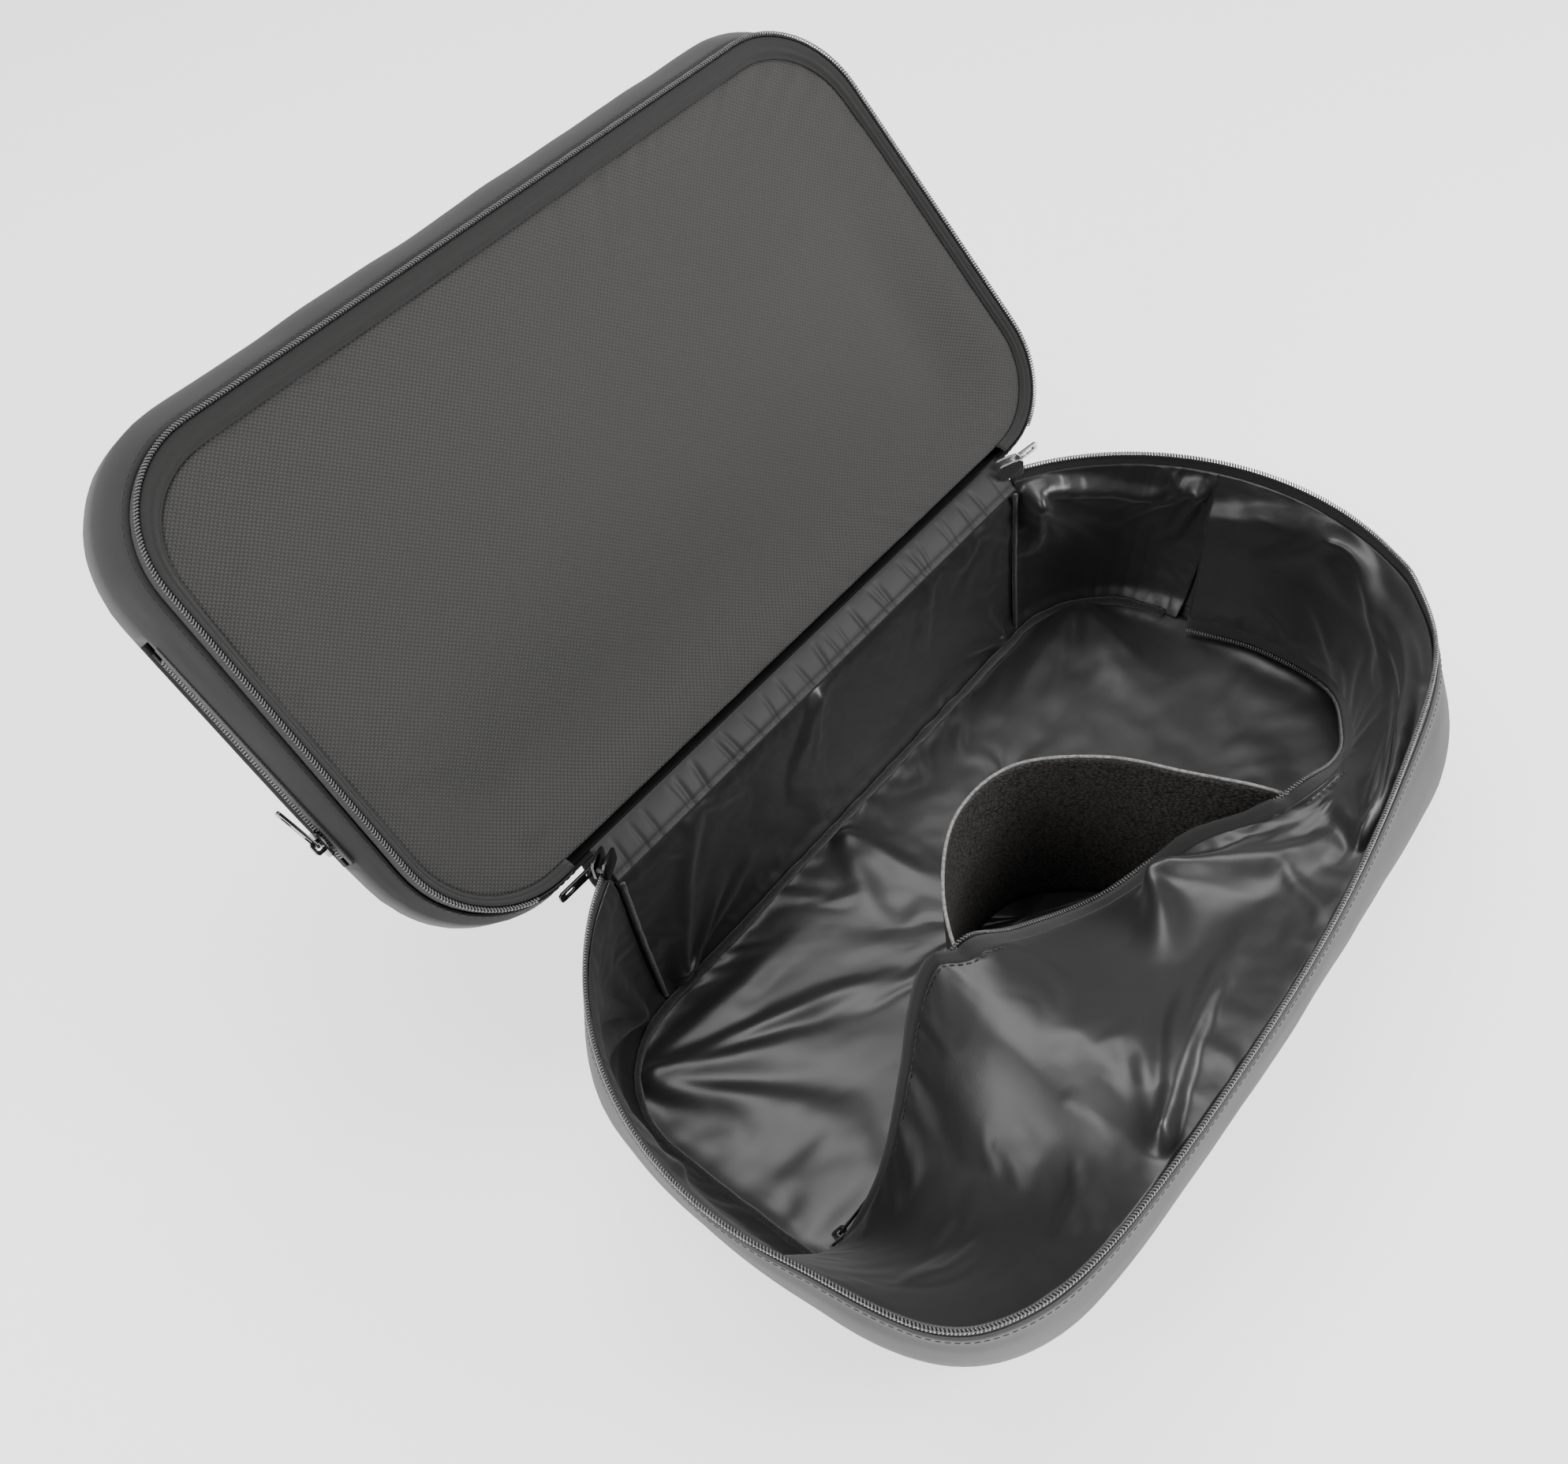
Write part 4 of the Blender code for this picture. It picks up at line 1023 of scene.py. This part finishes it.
def make_front_lining():
    columns, count, start = 190, 44, 0.0070
    rows = []
    for i in range(count + 1):
        row = []
        for u in places(0.0, 1.0, columns):
            edge, place = edge_rule(u)
            full = (tray_point(place, LINING_TOP_Z, FRONT_TOP_INSET) - edge).length
            reach = start + (full - start) * i / count
            row.append(front_cloth_point(u, reach, LINING_TOP_Z, FRONT_TOP_INSET))
        rows.append(row)

    rows = taut(rows, 90)
    front_fans = (fan((0.118, 0.118), (196, 262, 6), 0.100, 0.0085, 0.0052, 21)
                  + fan((0.150, 0.006), (62, 128, 5), 0.090, 0.0105, 0.0046, 22)
                  + fan((0.040, 0.118), (205, 300, 5), 0.085, 0.0090, 0.0058, 23)
                  + fan((0.215, 0.118), (205, 262, 4), 0.080, 0.0085, 0.0036, 24))

    def folds(v, u, p):
        x, y = u * 0.300, v * 0.120
        small = gathers(x, y, 48.0, 0.0020, 0.008, 0.012) + gathers(x, 0.120 - y, 49.0, 0.0012)
        return (folded(x, y, front_fans) + small) * sewn(v, 0.04)

    def free(p):
        distance, height = nearest_divider(p)
        return 1.0 if p.z > height + 0.012 else 0.25 + 0.75 * smooth_step((distance - 0.006) / 0.02)

    satin_panel("front_satin", rows, 0.012, 0.008, ("front_lining",), folds,
                free, 6.0,
                side=lambda p: (Vector((0.0, 0.012, 0.10)) + Vector((-p.x, -p.y, 0.0)) * 0.35).normalized())

    tape_rows = [[front_cloth_point(u, reach) + Vector((0.0, 0.0, 0.0002)) for u in places(0.0, 1.0, 150)]
                 for reach in (0.0016, 0.0040, 0.0064, 0.0086)]
    tape = add_piece("lining_edge_tape", grid_mesh("lining_edge_tape", tape_rows), "zip_tape", "tray",
                     ("lining_zip_tape",))
    thicken(tape, TAPE, 0.0)
    line = [edge_rule(u)[0] for u in places(0.0, 1.0, 420)]
    outs = [edge_rule(u)[0] - front_cloth_point(u, 0.006) for u in places(0.0, 1.0, 100)]
    coil = add_piece("lining_edge_coil",
                     coil_mesh("lining_edge_coil", line, lambda share: outs[min(int(share * 100), 99)],
                               0.0023, 0.0019), "zip_coil", "tray", ("lining_zip_coil",))
    seam = [front_cloth_point(u, 0.0098) + Vector((0.0, 0.0, 0.0005)) for u in places(0.01, 0.99, 150)]
    stitches = add_piece("lining_edge_stitches", stitch_mesh("lining_edge_stitches", seam), "thread", "tray")


def make_floor_zip():
    along = places(0.36, 0.76, 110)
    rows = [[Vector((p.x, p.y, FLOOR_Z + 0.0014)) for p in (tray_point(s, 0.010, inset) for s in along)]
            for inset in (0.0104, 0.0087, 0.0070)]
    tape = thicken(add_piece("floor_edge_tape", grid_mesh("floor_edge_tape", rows), "zip_tape", "tray",
                             ("floor_zip_tape",)), TAPE, 0.0)
    line = [tray_point(s, 0.0085, 0.0120) for s in along]
    mesh = coil_mesh("floor_edge_coil", line, lambda share: Vector((0.0, 1.0, 0.0)), *FINE_COIL)
    coil = add_piece("floor_edge_coil", mesh, "zip_coil", "tray", ("floor_zip_coil",))


def make_bindings():
    """Bound seams: a folded tape standing up, uneven along its run."""
    along = places(0.888, 1.0, 40) + places(1.01, 1.99, 110) + places(2.0, 2.215, 70)
    line = [tray_point(s, 0.0105, 0.0095) + Vector((0.0, 0.0, 0.0008 * wobble(i * 0.001, 0.0, 0.008, 4.0)))
            for i, s in enumerate(along)]
    fat = tube_mesh("floor_seam_tape", line,
                    lambda i: 0.0027 * (1.0 + 0.28 * wobble(i * 0.001, 1.0, 0.004, 6.0)), 10, flat=0.55)
    add_piece("floor_seam_tape", fat, "binding", "tray", ("floor_seam_binding",))
    for name, place in (("near_corner", 0.0), ("far_corner", 1.0)):
        line = [tray_point(place, z, 0.0070) for z in places(0.0125, 0.0915, 50)]
        thin = tube_mesh(f"{name}_seam_tape", line,
                         lambda i: 0.0011 * (1.0 + 0.2 * wobble(i * 0.001, 2.0, 0.004, 7.0)), 8)
        add_piece(f"{name}_seam_tape", thin, "binding", "tray", (f"{name}_binding",))


def make_divider():
    rows = []
    for i in range(27):
        row = []
        for place in places(0.0, 1.0, 150):
            plan = DIVIDER_CURVE.at(place)
            top = divider_height(place)
            row.append(Vector((plan.x, plan.y, DIVIDER_FOOT + (top - DIVIDER_FOOT) * i / 26)))
        rows.append(row)
    panel = thicken(add_piece("divider_leatherette", grid_mesh("divider_leatherette", rows), "leatherette",
                              "tray", ("divider_panel",)), DIVIDER_THICKNESS, 0.0)
    ends = [row[0] for row in rows], [row[-1] for row in reversed(rows)]
    line = ends[0] + rows[-1][1:-1] + ends[1]
    edge = add_piece("divider_cut_edge", tube_mesh("divider_cut_edge", line, 0.00070, 8), "cut_edge", "tray")


# ---------------------------------------------------------------- hinge
STRIP_LOW = Vector((0.0, 0.1018, 0.0920))
STRIP_HIGH = Vector((0.0, 0.1139, 0.1040))
STRIP_PLEATS = 26


def make_hinge_strip():
    """Gathered satin strip from the tray's stitch line up to the lid's panel."""
    rng = random.Random(11)
    pleats = [(-HINGE_END + 0.006 + (2 * HINGE_END - 0.012) * (i + rng.uniform(0.1, 0.9)) / STRIP_PLEATS,
               rng.uniform(0.5, 1.0), rng.uniform(-0.5, 0.5)) for i in range(STRIP_PLEATS)]
    across = (STRIP_HIGH - STRIP_LOW).normalized()
    out = Vector((0.0, -across.z, across.y))
    rows = []
    for t in places(0.0, 1.0, 14):
        row = []
        for x in reversed(places(-HINGE_END + 0.002, HINGE_END - 0.002, 320)):
            lift = 0.0009 * math.sin(math.pi * t) ** 0.7
            for centre, size, lean in pleats:
                away = (x - centre - lean * 0.005 * (t - 0.5)) / (0.0015 * size)
                if abs(away) < 3.0:
                    depth = 0.0008 * size * math.exp(-away * away)
                    lift -= depth * math.sin(math.pi * min(t + 0.12, 1.0)) ** 0.5
            lift += 0.00025 * wobble(x, t * 0.02, 0.016, 1.0)
            lift -= 0.0006 * math.exp(-((t - 0.16) / 0.05) ** 2)
            row.append(STRIP_LOW.lerp(STRIP_HIGH, t) + Vector((x, 0.0, 0.0)) + out * lift)
        rows.append(row)
    strip = add_piece("hinge_strip_satin", grid_mesh("hinge_strip_satin", rows), "strip_satin", None,
                      ("hinge_strip",))
    thicken(strip, SATIN, 0.0)
    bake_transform(strip)
    seam = [p + out * 0.0003 for p in rows[2]]
    stitches = add_piece("hinge_strip_stitches", stitch_mesh("hinge_strip_stitches", seam, 0.0032, 0.0022),
                         "thread", "tray")
    size, area = cut(rows)


def make_outer_hinge():
    """Neoprene bridge behind the hinge: a slack fold while the lid is open."""
    low = Vector((0.0, 0.1078, 0.0905))
    high = LID_FRAME @ Vector((0.0, 0.0004, LID_GUSSET_FOOT + 0.0004))
    rows = []
    for t in places(0.0, 1.0, 14):
        base = low.lerp(high, t)
        row = []
        for x in reversed(places(-HINGE_END - 0.002, HINGE_END + 0.002, 120)):
            fold = 0.0066 * math.sin(math.pi * t) * (1.0 + 0.12 * wobble(x, t * 0.02, 0.03, 2.0))
            row.append(base + Vector((x, 0.0009 * math.sin(math.pi * t), -fold)))
        rows.append(row)
    bridge = add_piece("hinge_bridge_neoprene", grid_mesh("hinge_bridge_neoprene", rows), "neoprene", None,
                       ("hinge_outer_panel",))
    thicken(bridge, 0.0012, 0.0)
    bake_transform(bridge)


# ---------------------------------------------------------------- lid
def gusset_levels(place):
    """Heights f of the gusset's rows at a place: the middle band is as wide as the pocket's slot."""
    height = lid_depth(on_pair(LID, place).y) - LID_GUSSET_FOOT
    half = min(POCKET_SLOT / height, 0.3)
    low = [(0.5 - half) * i / 9 for i in range(10)]
    return low + [0.5 + half + (0.5 - half) * i / 9 for i in range(10)]


def make_gusset():
    ring = ring_places(240, 40)
    levels = [gusset_levels(s) for s in ring]
    rows = [[lid_point(s, levels[k][i]) for k, s in enumerate(ring)] for i in range(20)]

    def dents(v, u, p):
        swell = wobble(p.x, p.y + p.z, 0.05, 12.0) + 0.4 * wobble(p.x, p.y - p.z, 0.022, 13.0)
        slack = smooth_step(v / 0.25) * smooth_step((1 - v) / 0.2) * smooth_step(-p.y / 0.03)
        return 0.0009 * swell * slack - 0.0006 * smooth_step((0.06 - v) / 0.06)

    slot = {(9, k) for k, s in enumerate(ring) if POCKET_START <= s < POCKET_END}
    flat_zone = {k for k, s in enumerate(ring) if POCKET_START - 0.02 <= s < POCKET_END + 0.02}
    shaped = lifted(rows, dents, ring=True)
    rows = [[rows[i][k] if k in flat_zone and 5 <= i <= 14 else shaped[i][k] for k in range(len(ring))]
            for i in range(20)]
    world = to_world(rows)
    gusset = thicken(add_piece("lid_gusset_neoprene", grid_mesh("lid_gusset_neoprene", world, True, slot),
                               "neoprene", "lid", ("lid_gusset",)), NEOPRENE)
    seam = world[1][:241]
    stitches = add_piece("lid_rim_stitches", stitch_mesh("lid_rim_stitches", seam), "thread", "lid")


def make_lid_face():
    ring = ring_places(200, 40)
    edge = [lid_point(s, 1.0, 0.0022) for s in ring]
    rings = []
    for share in (0.0, 0.02, 0.05, 0.09, 0.14, 0.2, 0.27, 0.35, 0.44, 0.54, 0.65, 0.77, 0.9):
        line = []
        for p in edge:
            x, y = inward(p, share)
            lift = LID_DOME * (1.0 - (1.0 - share) ** 2) - 0.0010 * math.exp(-(share / 0.02) ** 2)
            lift += 0.0009 * wobble(x, y, 0.07, 21.0) * smooth_step(share / 0.2)
            line.append(LID_FRAME @ Vector((x, y, lid_depth(y) + lift)))
        rings.append(line)
    top = LID_FRAME @ Vector((LID_MIDDLE.x, LID_MIDDLE.y, lid_depth(LID_MIDDLE.y) + LID_DOME))
    mesh = disc_mesh("lid_face_neoprene", rings, top, lid_plan)
    face = thicken(add_piece("lid_face_neoprene", mesh, "neoprene", "lid", ("lid_face_panel",)), NEOPRENE)
    cord = [LID_FRAME @ lid_point(s, 1.0, -0.0004) for s in ring_places(260, 60)]
    piping = tube_mesh("lid_edge_piping", cord, PIPING_RADIUS, 10, cyclic=True)
    add_piece("lid_edge_piping", piping, "piping", "lid", ("lid_piping",))


def band_width(place):
    """Width of the tape band inside the lid's coil: wide along the free edge and narrow at the ends."""
    along = smooth_step((place - 0.20) / 0.12) * smooth_step((0.80 - place) / 0.12) if place <= 1.0 else 0.0
    return 0.0040 + 0.0048 * along


def make_lid_band():
    """Tape band between the lid's coil and its woven panel, with the ridge of its seam."""
    along = places(0.002, 0.998, 300)
    rows = []
    for t in places(0.0, 1.0, 12):
        row = []
        for s in along:
            spot = lid_point(s, 0.0, 0.0032 + band_width(s) * t)
            ridge_height = 0.0008 * math.exp(-((t - 0.62) / 0.10) ** 2)
            row.append(Vector((spot.x, spot.y, 0.0034 + 0.0026 * smooth_step(t) - ridge_height)))
        rows.append(row)
    band = add_piece("lid_band_tape", grid_mesh("lid_band_tape", to_world(rows)), "zip_tape", "lid")
    thicken(band, TAPE)


def make_woven_panel():
    """Woven lid panel: drawn into small puckers along its seam, and gently uneven in the middle."""
    ring = ring_places(420, 120)
    edge = [lid_point(s, 0.0, 0.0030 + band_width(s)) for s in ring]
    run = lengths(edge)
    shares = (0.0, 0.010, 0.02, 0.032, 0.046, 0.062, 0.08, 0.10, 0.125, 0.155, 0.19, 0.23, 0.275, 0.325,
              0.38, 0.44, 0.51, 0.59, 0.68, 0.78, 0.89)
    pulls = (fan((-0.183, -0.150), (-40, 20, 5), 0.055, 0.0060, 0.0022, 35)
             + fan((-0.183, -0.075), (-35, 25, 4), 0.050, 0.0060, 0.0020, 36)
             + fan((-0.150, -0.020), (-60, 5, 4), 0.050, 0.0065, 0.0018, 37))

    def height(x, y, share, along):
        pucker = abs(wobble(along, 0.0, 0.013, 31.0)) + 0.6 * wobble(along, 0.0, 0.031, 32.0)
        reach = math.exp(-share / 0.10) * smooth_step(share / 0.02)
        sag = 0.0020 * wobble(x, y, 0.12, 33.0) + 0.0008 * wobble(x, y, 0.05, 34.0)
        bend = 0.0085 * smooth_step((y + 0.115 + 0.18 * (x + 0.02)) / 0.085) * smooth_step(-y / 0.05)
        away = (0.0022 + sag + bend - folded(x, y, pulls)) * smooth_step(share / 0.22)
        return 0.0016 * pucker * reach + away

    rings = []
    for share in shares:
        line = []
        for k, p in enumerate(edge):
            x, y = inward(p, share)
            line.append(LID_FRAME @ Vector((x, y, LID_PANEL_Z + height(x, y, share, run[k]))))
        rings.append(list(reversed(line)))
    x, y = LID_MIDDLE.x, LID_MIDDLE.y
    centre = LID_FRAME @ Vector((x, y, LID_PANEL_Z + height(x, y, 1.0, 0.0)))
    mesh = disc_mesh("lid_woven_panel", rings, centre, lid_plan)
    panel = thicken(add_piece("lid_woven_panel", mesh, "woven", "lid", ("lid_inner_panel",)), 0.0006)


def make_lid_zip():
    along = places(0.004, 0.996, 260)
    levels = ((0.0024, 0.0020), (0.0045, 0.0017), (0.0068, 0.0013), (0.0090, 0.0011), (0.0112, 0.0013))
    rows = to_world([[flat_point(s, z, inset) for s in along] for z, inset in levels])
    tape = thicken(add_piece("lid_rim_tape", grid_mesh("lid_rim_tape", rows), "zip_tape", "lid",
                             ("lid_zip_tape",)), TAPE)
    line = [LID_FRAME @ flat_point(s, LID_COIL_Z, COIL_INSET) for s in places(0.026, 0.974, 410)]
    away = LID_FRAME.to_3x3() @ Vector((0.0, 0.0, -1.0))
    coil = add_piece("lid_rim_coil", coil_mesh("lid_rim_coil", line, lambda share: away), "zip_coil", "lid",
                     ("lid_zip_coil",))


def pocket_line(share):
    """Point on the pocket zip's straight centre line, in the lid's frame."""
    start = lid_point(POCKET_START + POCKET_STOP, 0.5, COIL_INSET)
    end = lid_point(POCKET_END - POCKET_STOP, 0.5, COIL_INSET)
    return start.lerp(end, share)


def make_pocket_zip():
    run = (pocket_line(1.0) - pocket_line(0.0)).normalized()
    across = run.cross(Vector((-1.0, 0.0, 0.0))).normalized()
    turn = LID_FRAME.to_3x3()
    for name, side in (("inner", -1), ("outer", 1)):
        rows = [[pocket_line(t) + across * side * reach for t in places(-0.04, 1.04, 60)]
                for reach in (0.0024, 0.0040, 0.0056, 0.0074)]
        if side > 0:
            rows.reverse()
        rows = to_world(rows)
        tape = thicken(add_piece(f"pocket_tape_{name}", grid_mesh(f"pocket_tape_{name}", rows), "zip_tape",
                                 "lid", (f"pocket_zip_tape_{name}",)), TAPE, 0.0)
        line = [LID_FRAME @ (pocket_line(t) + across * side * 0.00135) for t in places(0.0, 1.0, 60)]
        mesh = coil_mesh(f"pocket_coil_{name}", line, lambda share: turn @ across * side, *FINE_COIL,
                         phase=math.pi * (side > 0))
        coil = add_piece(f"pocket_coil_{name}", mesh, "zip_coil", "lid", (f"pocket_zip_coil_{name}",))


HANDLE_HALF = 0.090
HANDLE_HALF_WIDTH = 0.0125
HANDLE_THICKNESS = 0.0016
HANDLE_RISE = 0.024
PATCH_HALF = (0.018, 0.017)        # of the sewn patch, along and across the handle
PATCH_SEAM_HALF = (0.0148, 0.0138)
PATCH_THICKNESS = 0.0014


def make_handle():
    """Webbing carry handle on the outer face, with its sewn patches."""
    slope = math.atan2(LID_DEPTH_FRONT - LID_DEPTH_HINGE, -LID_LOW.y)
    base = Vector((LID_MIDDLE.x, LID_MIDDLE.y, lid_depth(LID_MIDDLE.y) + LID_DOME))
    across = Vector((0.0, -math.cos(slope), math.sin(slope)))
    lift = Vector((0.0, math.sin(slope), math.cos(slope)))
    rows = []
    for side in places(-1.0, 1.0, 8):
        line = []
        for t in places(-1.0, 1.0, 90):
            bow = 0.0045 + HANDLE_RISE * math.cos(math.pi / 2 * t) ** 1.5
            cup = -0.0010 * side * side * math.cos(math.pi / 2 * t)
            line.append(base + Vector((HANDLE_HALF * t, 0.0, 0.0)) + across * HANDLE_HALF_WIDTH * side
                        + lift * (bow + cup))
        rows.append(line)
    rows = to_world(rows)
    strap = add_piece("handle_strap", grid_mesh("handle_strap", rows), "webbing", "lid", ("handle_webbing",))
    thicken(strap, HANDLE_THICKNESS, 0.0)
    for name, side in (("near", -1), ("far", 1)):
        spot = base + Vector((side * (HANDLE_HALF - 0.006), 0.0, 0.0)) + lift * 0.0024
        patch_rows = []
        for j in places(-1.0, 1.0, 12):
            patch_rows.append([spot + Vector((PATCH_HALF[0] * k, 0.0, 0.0)) + across * PATCH_HALF[1] * j
                               - lift * 0.0005 * max(abs(k), abs(j)) ** 6 for k in places(-1.0, 1.0, 12)])
        mesh = grid_mesh(f"handle_patch_{name}_webbing", to_world(patch_rows))
        patch = add_piece(f"handle_patch_{name}_webbing", mesh, "webbing", "lid", (f"handle_patch_{name}",))
        thicken(patch, PATCH_THICKNESS, 0.0)
        box_stitch = (-1, -1), (1, -1), (1, 1), (-1, 1), (-1, -1), (1, 1)
        reach, side_reach = PATCH_SEAM_HALF
        line = [LID_FRAME @ (spot + Vector((reach * x, 0.0, 0.0)) + across * side_reach * y + lift * 0.0009)
                for x, y in box_stitch]
        seam = add_piece(f"handle_patch_{name}_stitches",
                         stitch_mesh(f"handle_patch_{name}_stitches", line, 0.0028, 0.0019), "thread", "lid")


# ---------------------------------------------------------------- sliders
METAL_ROUNDING = 0.00028


def make_metal():
    """Sliders and pulls: the CAD shapes with their edges rounded."""
    for node in (f"{zipper}_{part}" for zipper in ("near", "far", "lining", "pocket")
                 for part in ("slider", "pull")):
        kind = "bright_metal" if node.startswith("far") else "black_metal"
        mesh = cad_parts[node].data.copy()
        shape = bmesh.new()
        shape.from_mesh(mesh)
        bmesh.ops.remove_doubles(shape, verts=shape.verts, dist=0.00001)
        bmesh.ops.dissolve_limit(shape, angle_limit=math.radians(2), verts=shape.verts, edges=shape.edges)
        shape.to_mesh(mesh)
        shape.free()
        piece = add_piece(f"{node}_metal", mesh, kind, node, (node,))
        round_off = piece.modifiers.new("round", "BEVEL")
        round_off.width = METAL_ROUNDING
        round_off.segments = 3
        round_off.limit_method = "ANGLE"
        round_off.angle_limit = math.radians(32)


# ---------------------------------------------------------------- studio
FLOOR_REACH = 6.0
FLOOR_DROP = 0.0004
# Each light's place, aim, two sides of its area and power in watts.
LIGHTS = {"key": ((0.75, -1.15, 0.85), (0.05, -0.02, 0.06), (0.9, 0.7), 22.0),
          "top": ((0.10, 0.35, 1.60), (0.0, 0.0, 0.05), (1.3, 1.0), 17.0),
          "side": ((-1.30, 0.30, 0.90), (-0.10, 0.12, 0.12), (0.8, 0.8), 9.0)}
CAMERA_PLACE = Vector((-0.343, -0.240, 0.589))
CAMERA_FORWARD = Vector((0.4521, 0.5011, -0.7379))
CAMERA_UP = Vector((0.6289, 0.4078, 0.6622))
CAMERA_LENS = 38.12


def make_stage():
    signs = (-1, -1), (1, -1), (1, 1), (-1, 1)
    corners = [(x * FLOOR_REACH, y * FLOOR_REACH, -FLOOR_DROP) for x, y in signs]
    mesh = new_mesh("studio_floor", corners, [(0, 1, 2, 3)])
    floor = bpy.data.objects.new("studio_floor", mesh)
    bpy.context.scene.collection.objects.link(floor)
    pale = Shader("studio_floor", grey(0.92), 0.9, specular=0.1)
    pale.shader.inputs["Emission Color"].default_value = (1.0, 1.0, 1.0, 1.0)
    pale.shader.inputs["Emission Strength"].default_value = 1.55
    mesh.materials.append(pale.material)
    world = bpy.data.worlds.new("studio")
    bpy.context.scene.world = world
    world.use_nodes = True
    background = world.node_tree.nodes["Background"]
    background.inputs["Color"].default_value = (0.96, 0.97, 1.0, 1.0)
    background.inputs["Strength"].default_value = 0.30
    for name, (spot, aim, size, power) in LIGHTS.items():
        lamp = bpy.data.lights.new(name, "AREA")
        lamp.shape = "RECTANGLE"
        lamp.size, lamp.size_y = size
        lamp.energy = power
        light = bpy.data.objects.new(name, lamp)
        bpy.context.scene.collection.objects.link(light)
        light.location = spot
        light.rotation_euler = (Vector(aim) - Vector(spot)).to_track_quat("-Z", "Y").to_euler()


def make_camera():
    data = bpy.data.cameras.new("camera")
    data.sensor_width = 36.0
    data.lens = CAMERA_LENS
    camera = bpy.data.objects.new("camera", data)
    bpy.context.scene.collection.objects.link(camera)
    right = CAMERA_FORWARD.cross(CAMERA_UP).normalized()
    up = right.cross(CAMERA_FORWARD).normalized()
    turn = Matrix((right, up, -CAMERA_FORWARD.normalized())).transposed()
    camera.matrix_world = Matrix.Translation(CAMERA_PLACE) @ turn.to_4x4()
    data.clip_start = 0.01
    bpy.context.scene.camera = camera


for make in (make_tray_shell, make_rim_zip, make_wall_linings, make_floor_lining, make_front_lining,
             make_floor_zip, make_bindings, make_divider, make_hinge_strip, make_outer_hinge, make_gusset,
             make_lid_face, make_woven_panel, make_lid_band, make_lid_zip, make_pocket_zip, make_handle,
             make_metal, make_stage, make_camera):
    make()
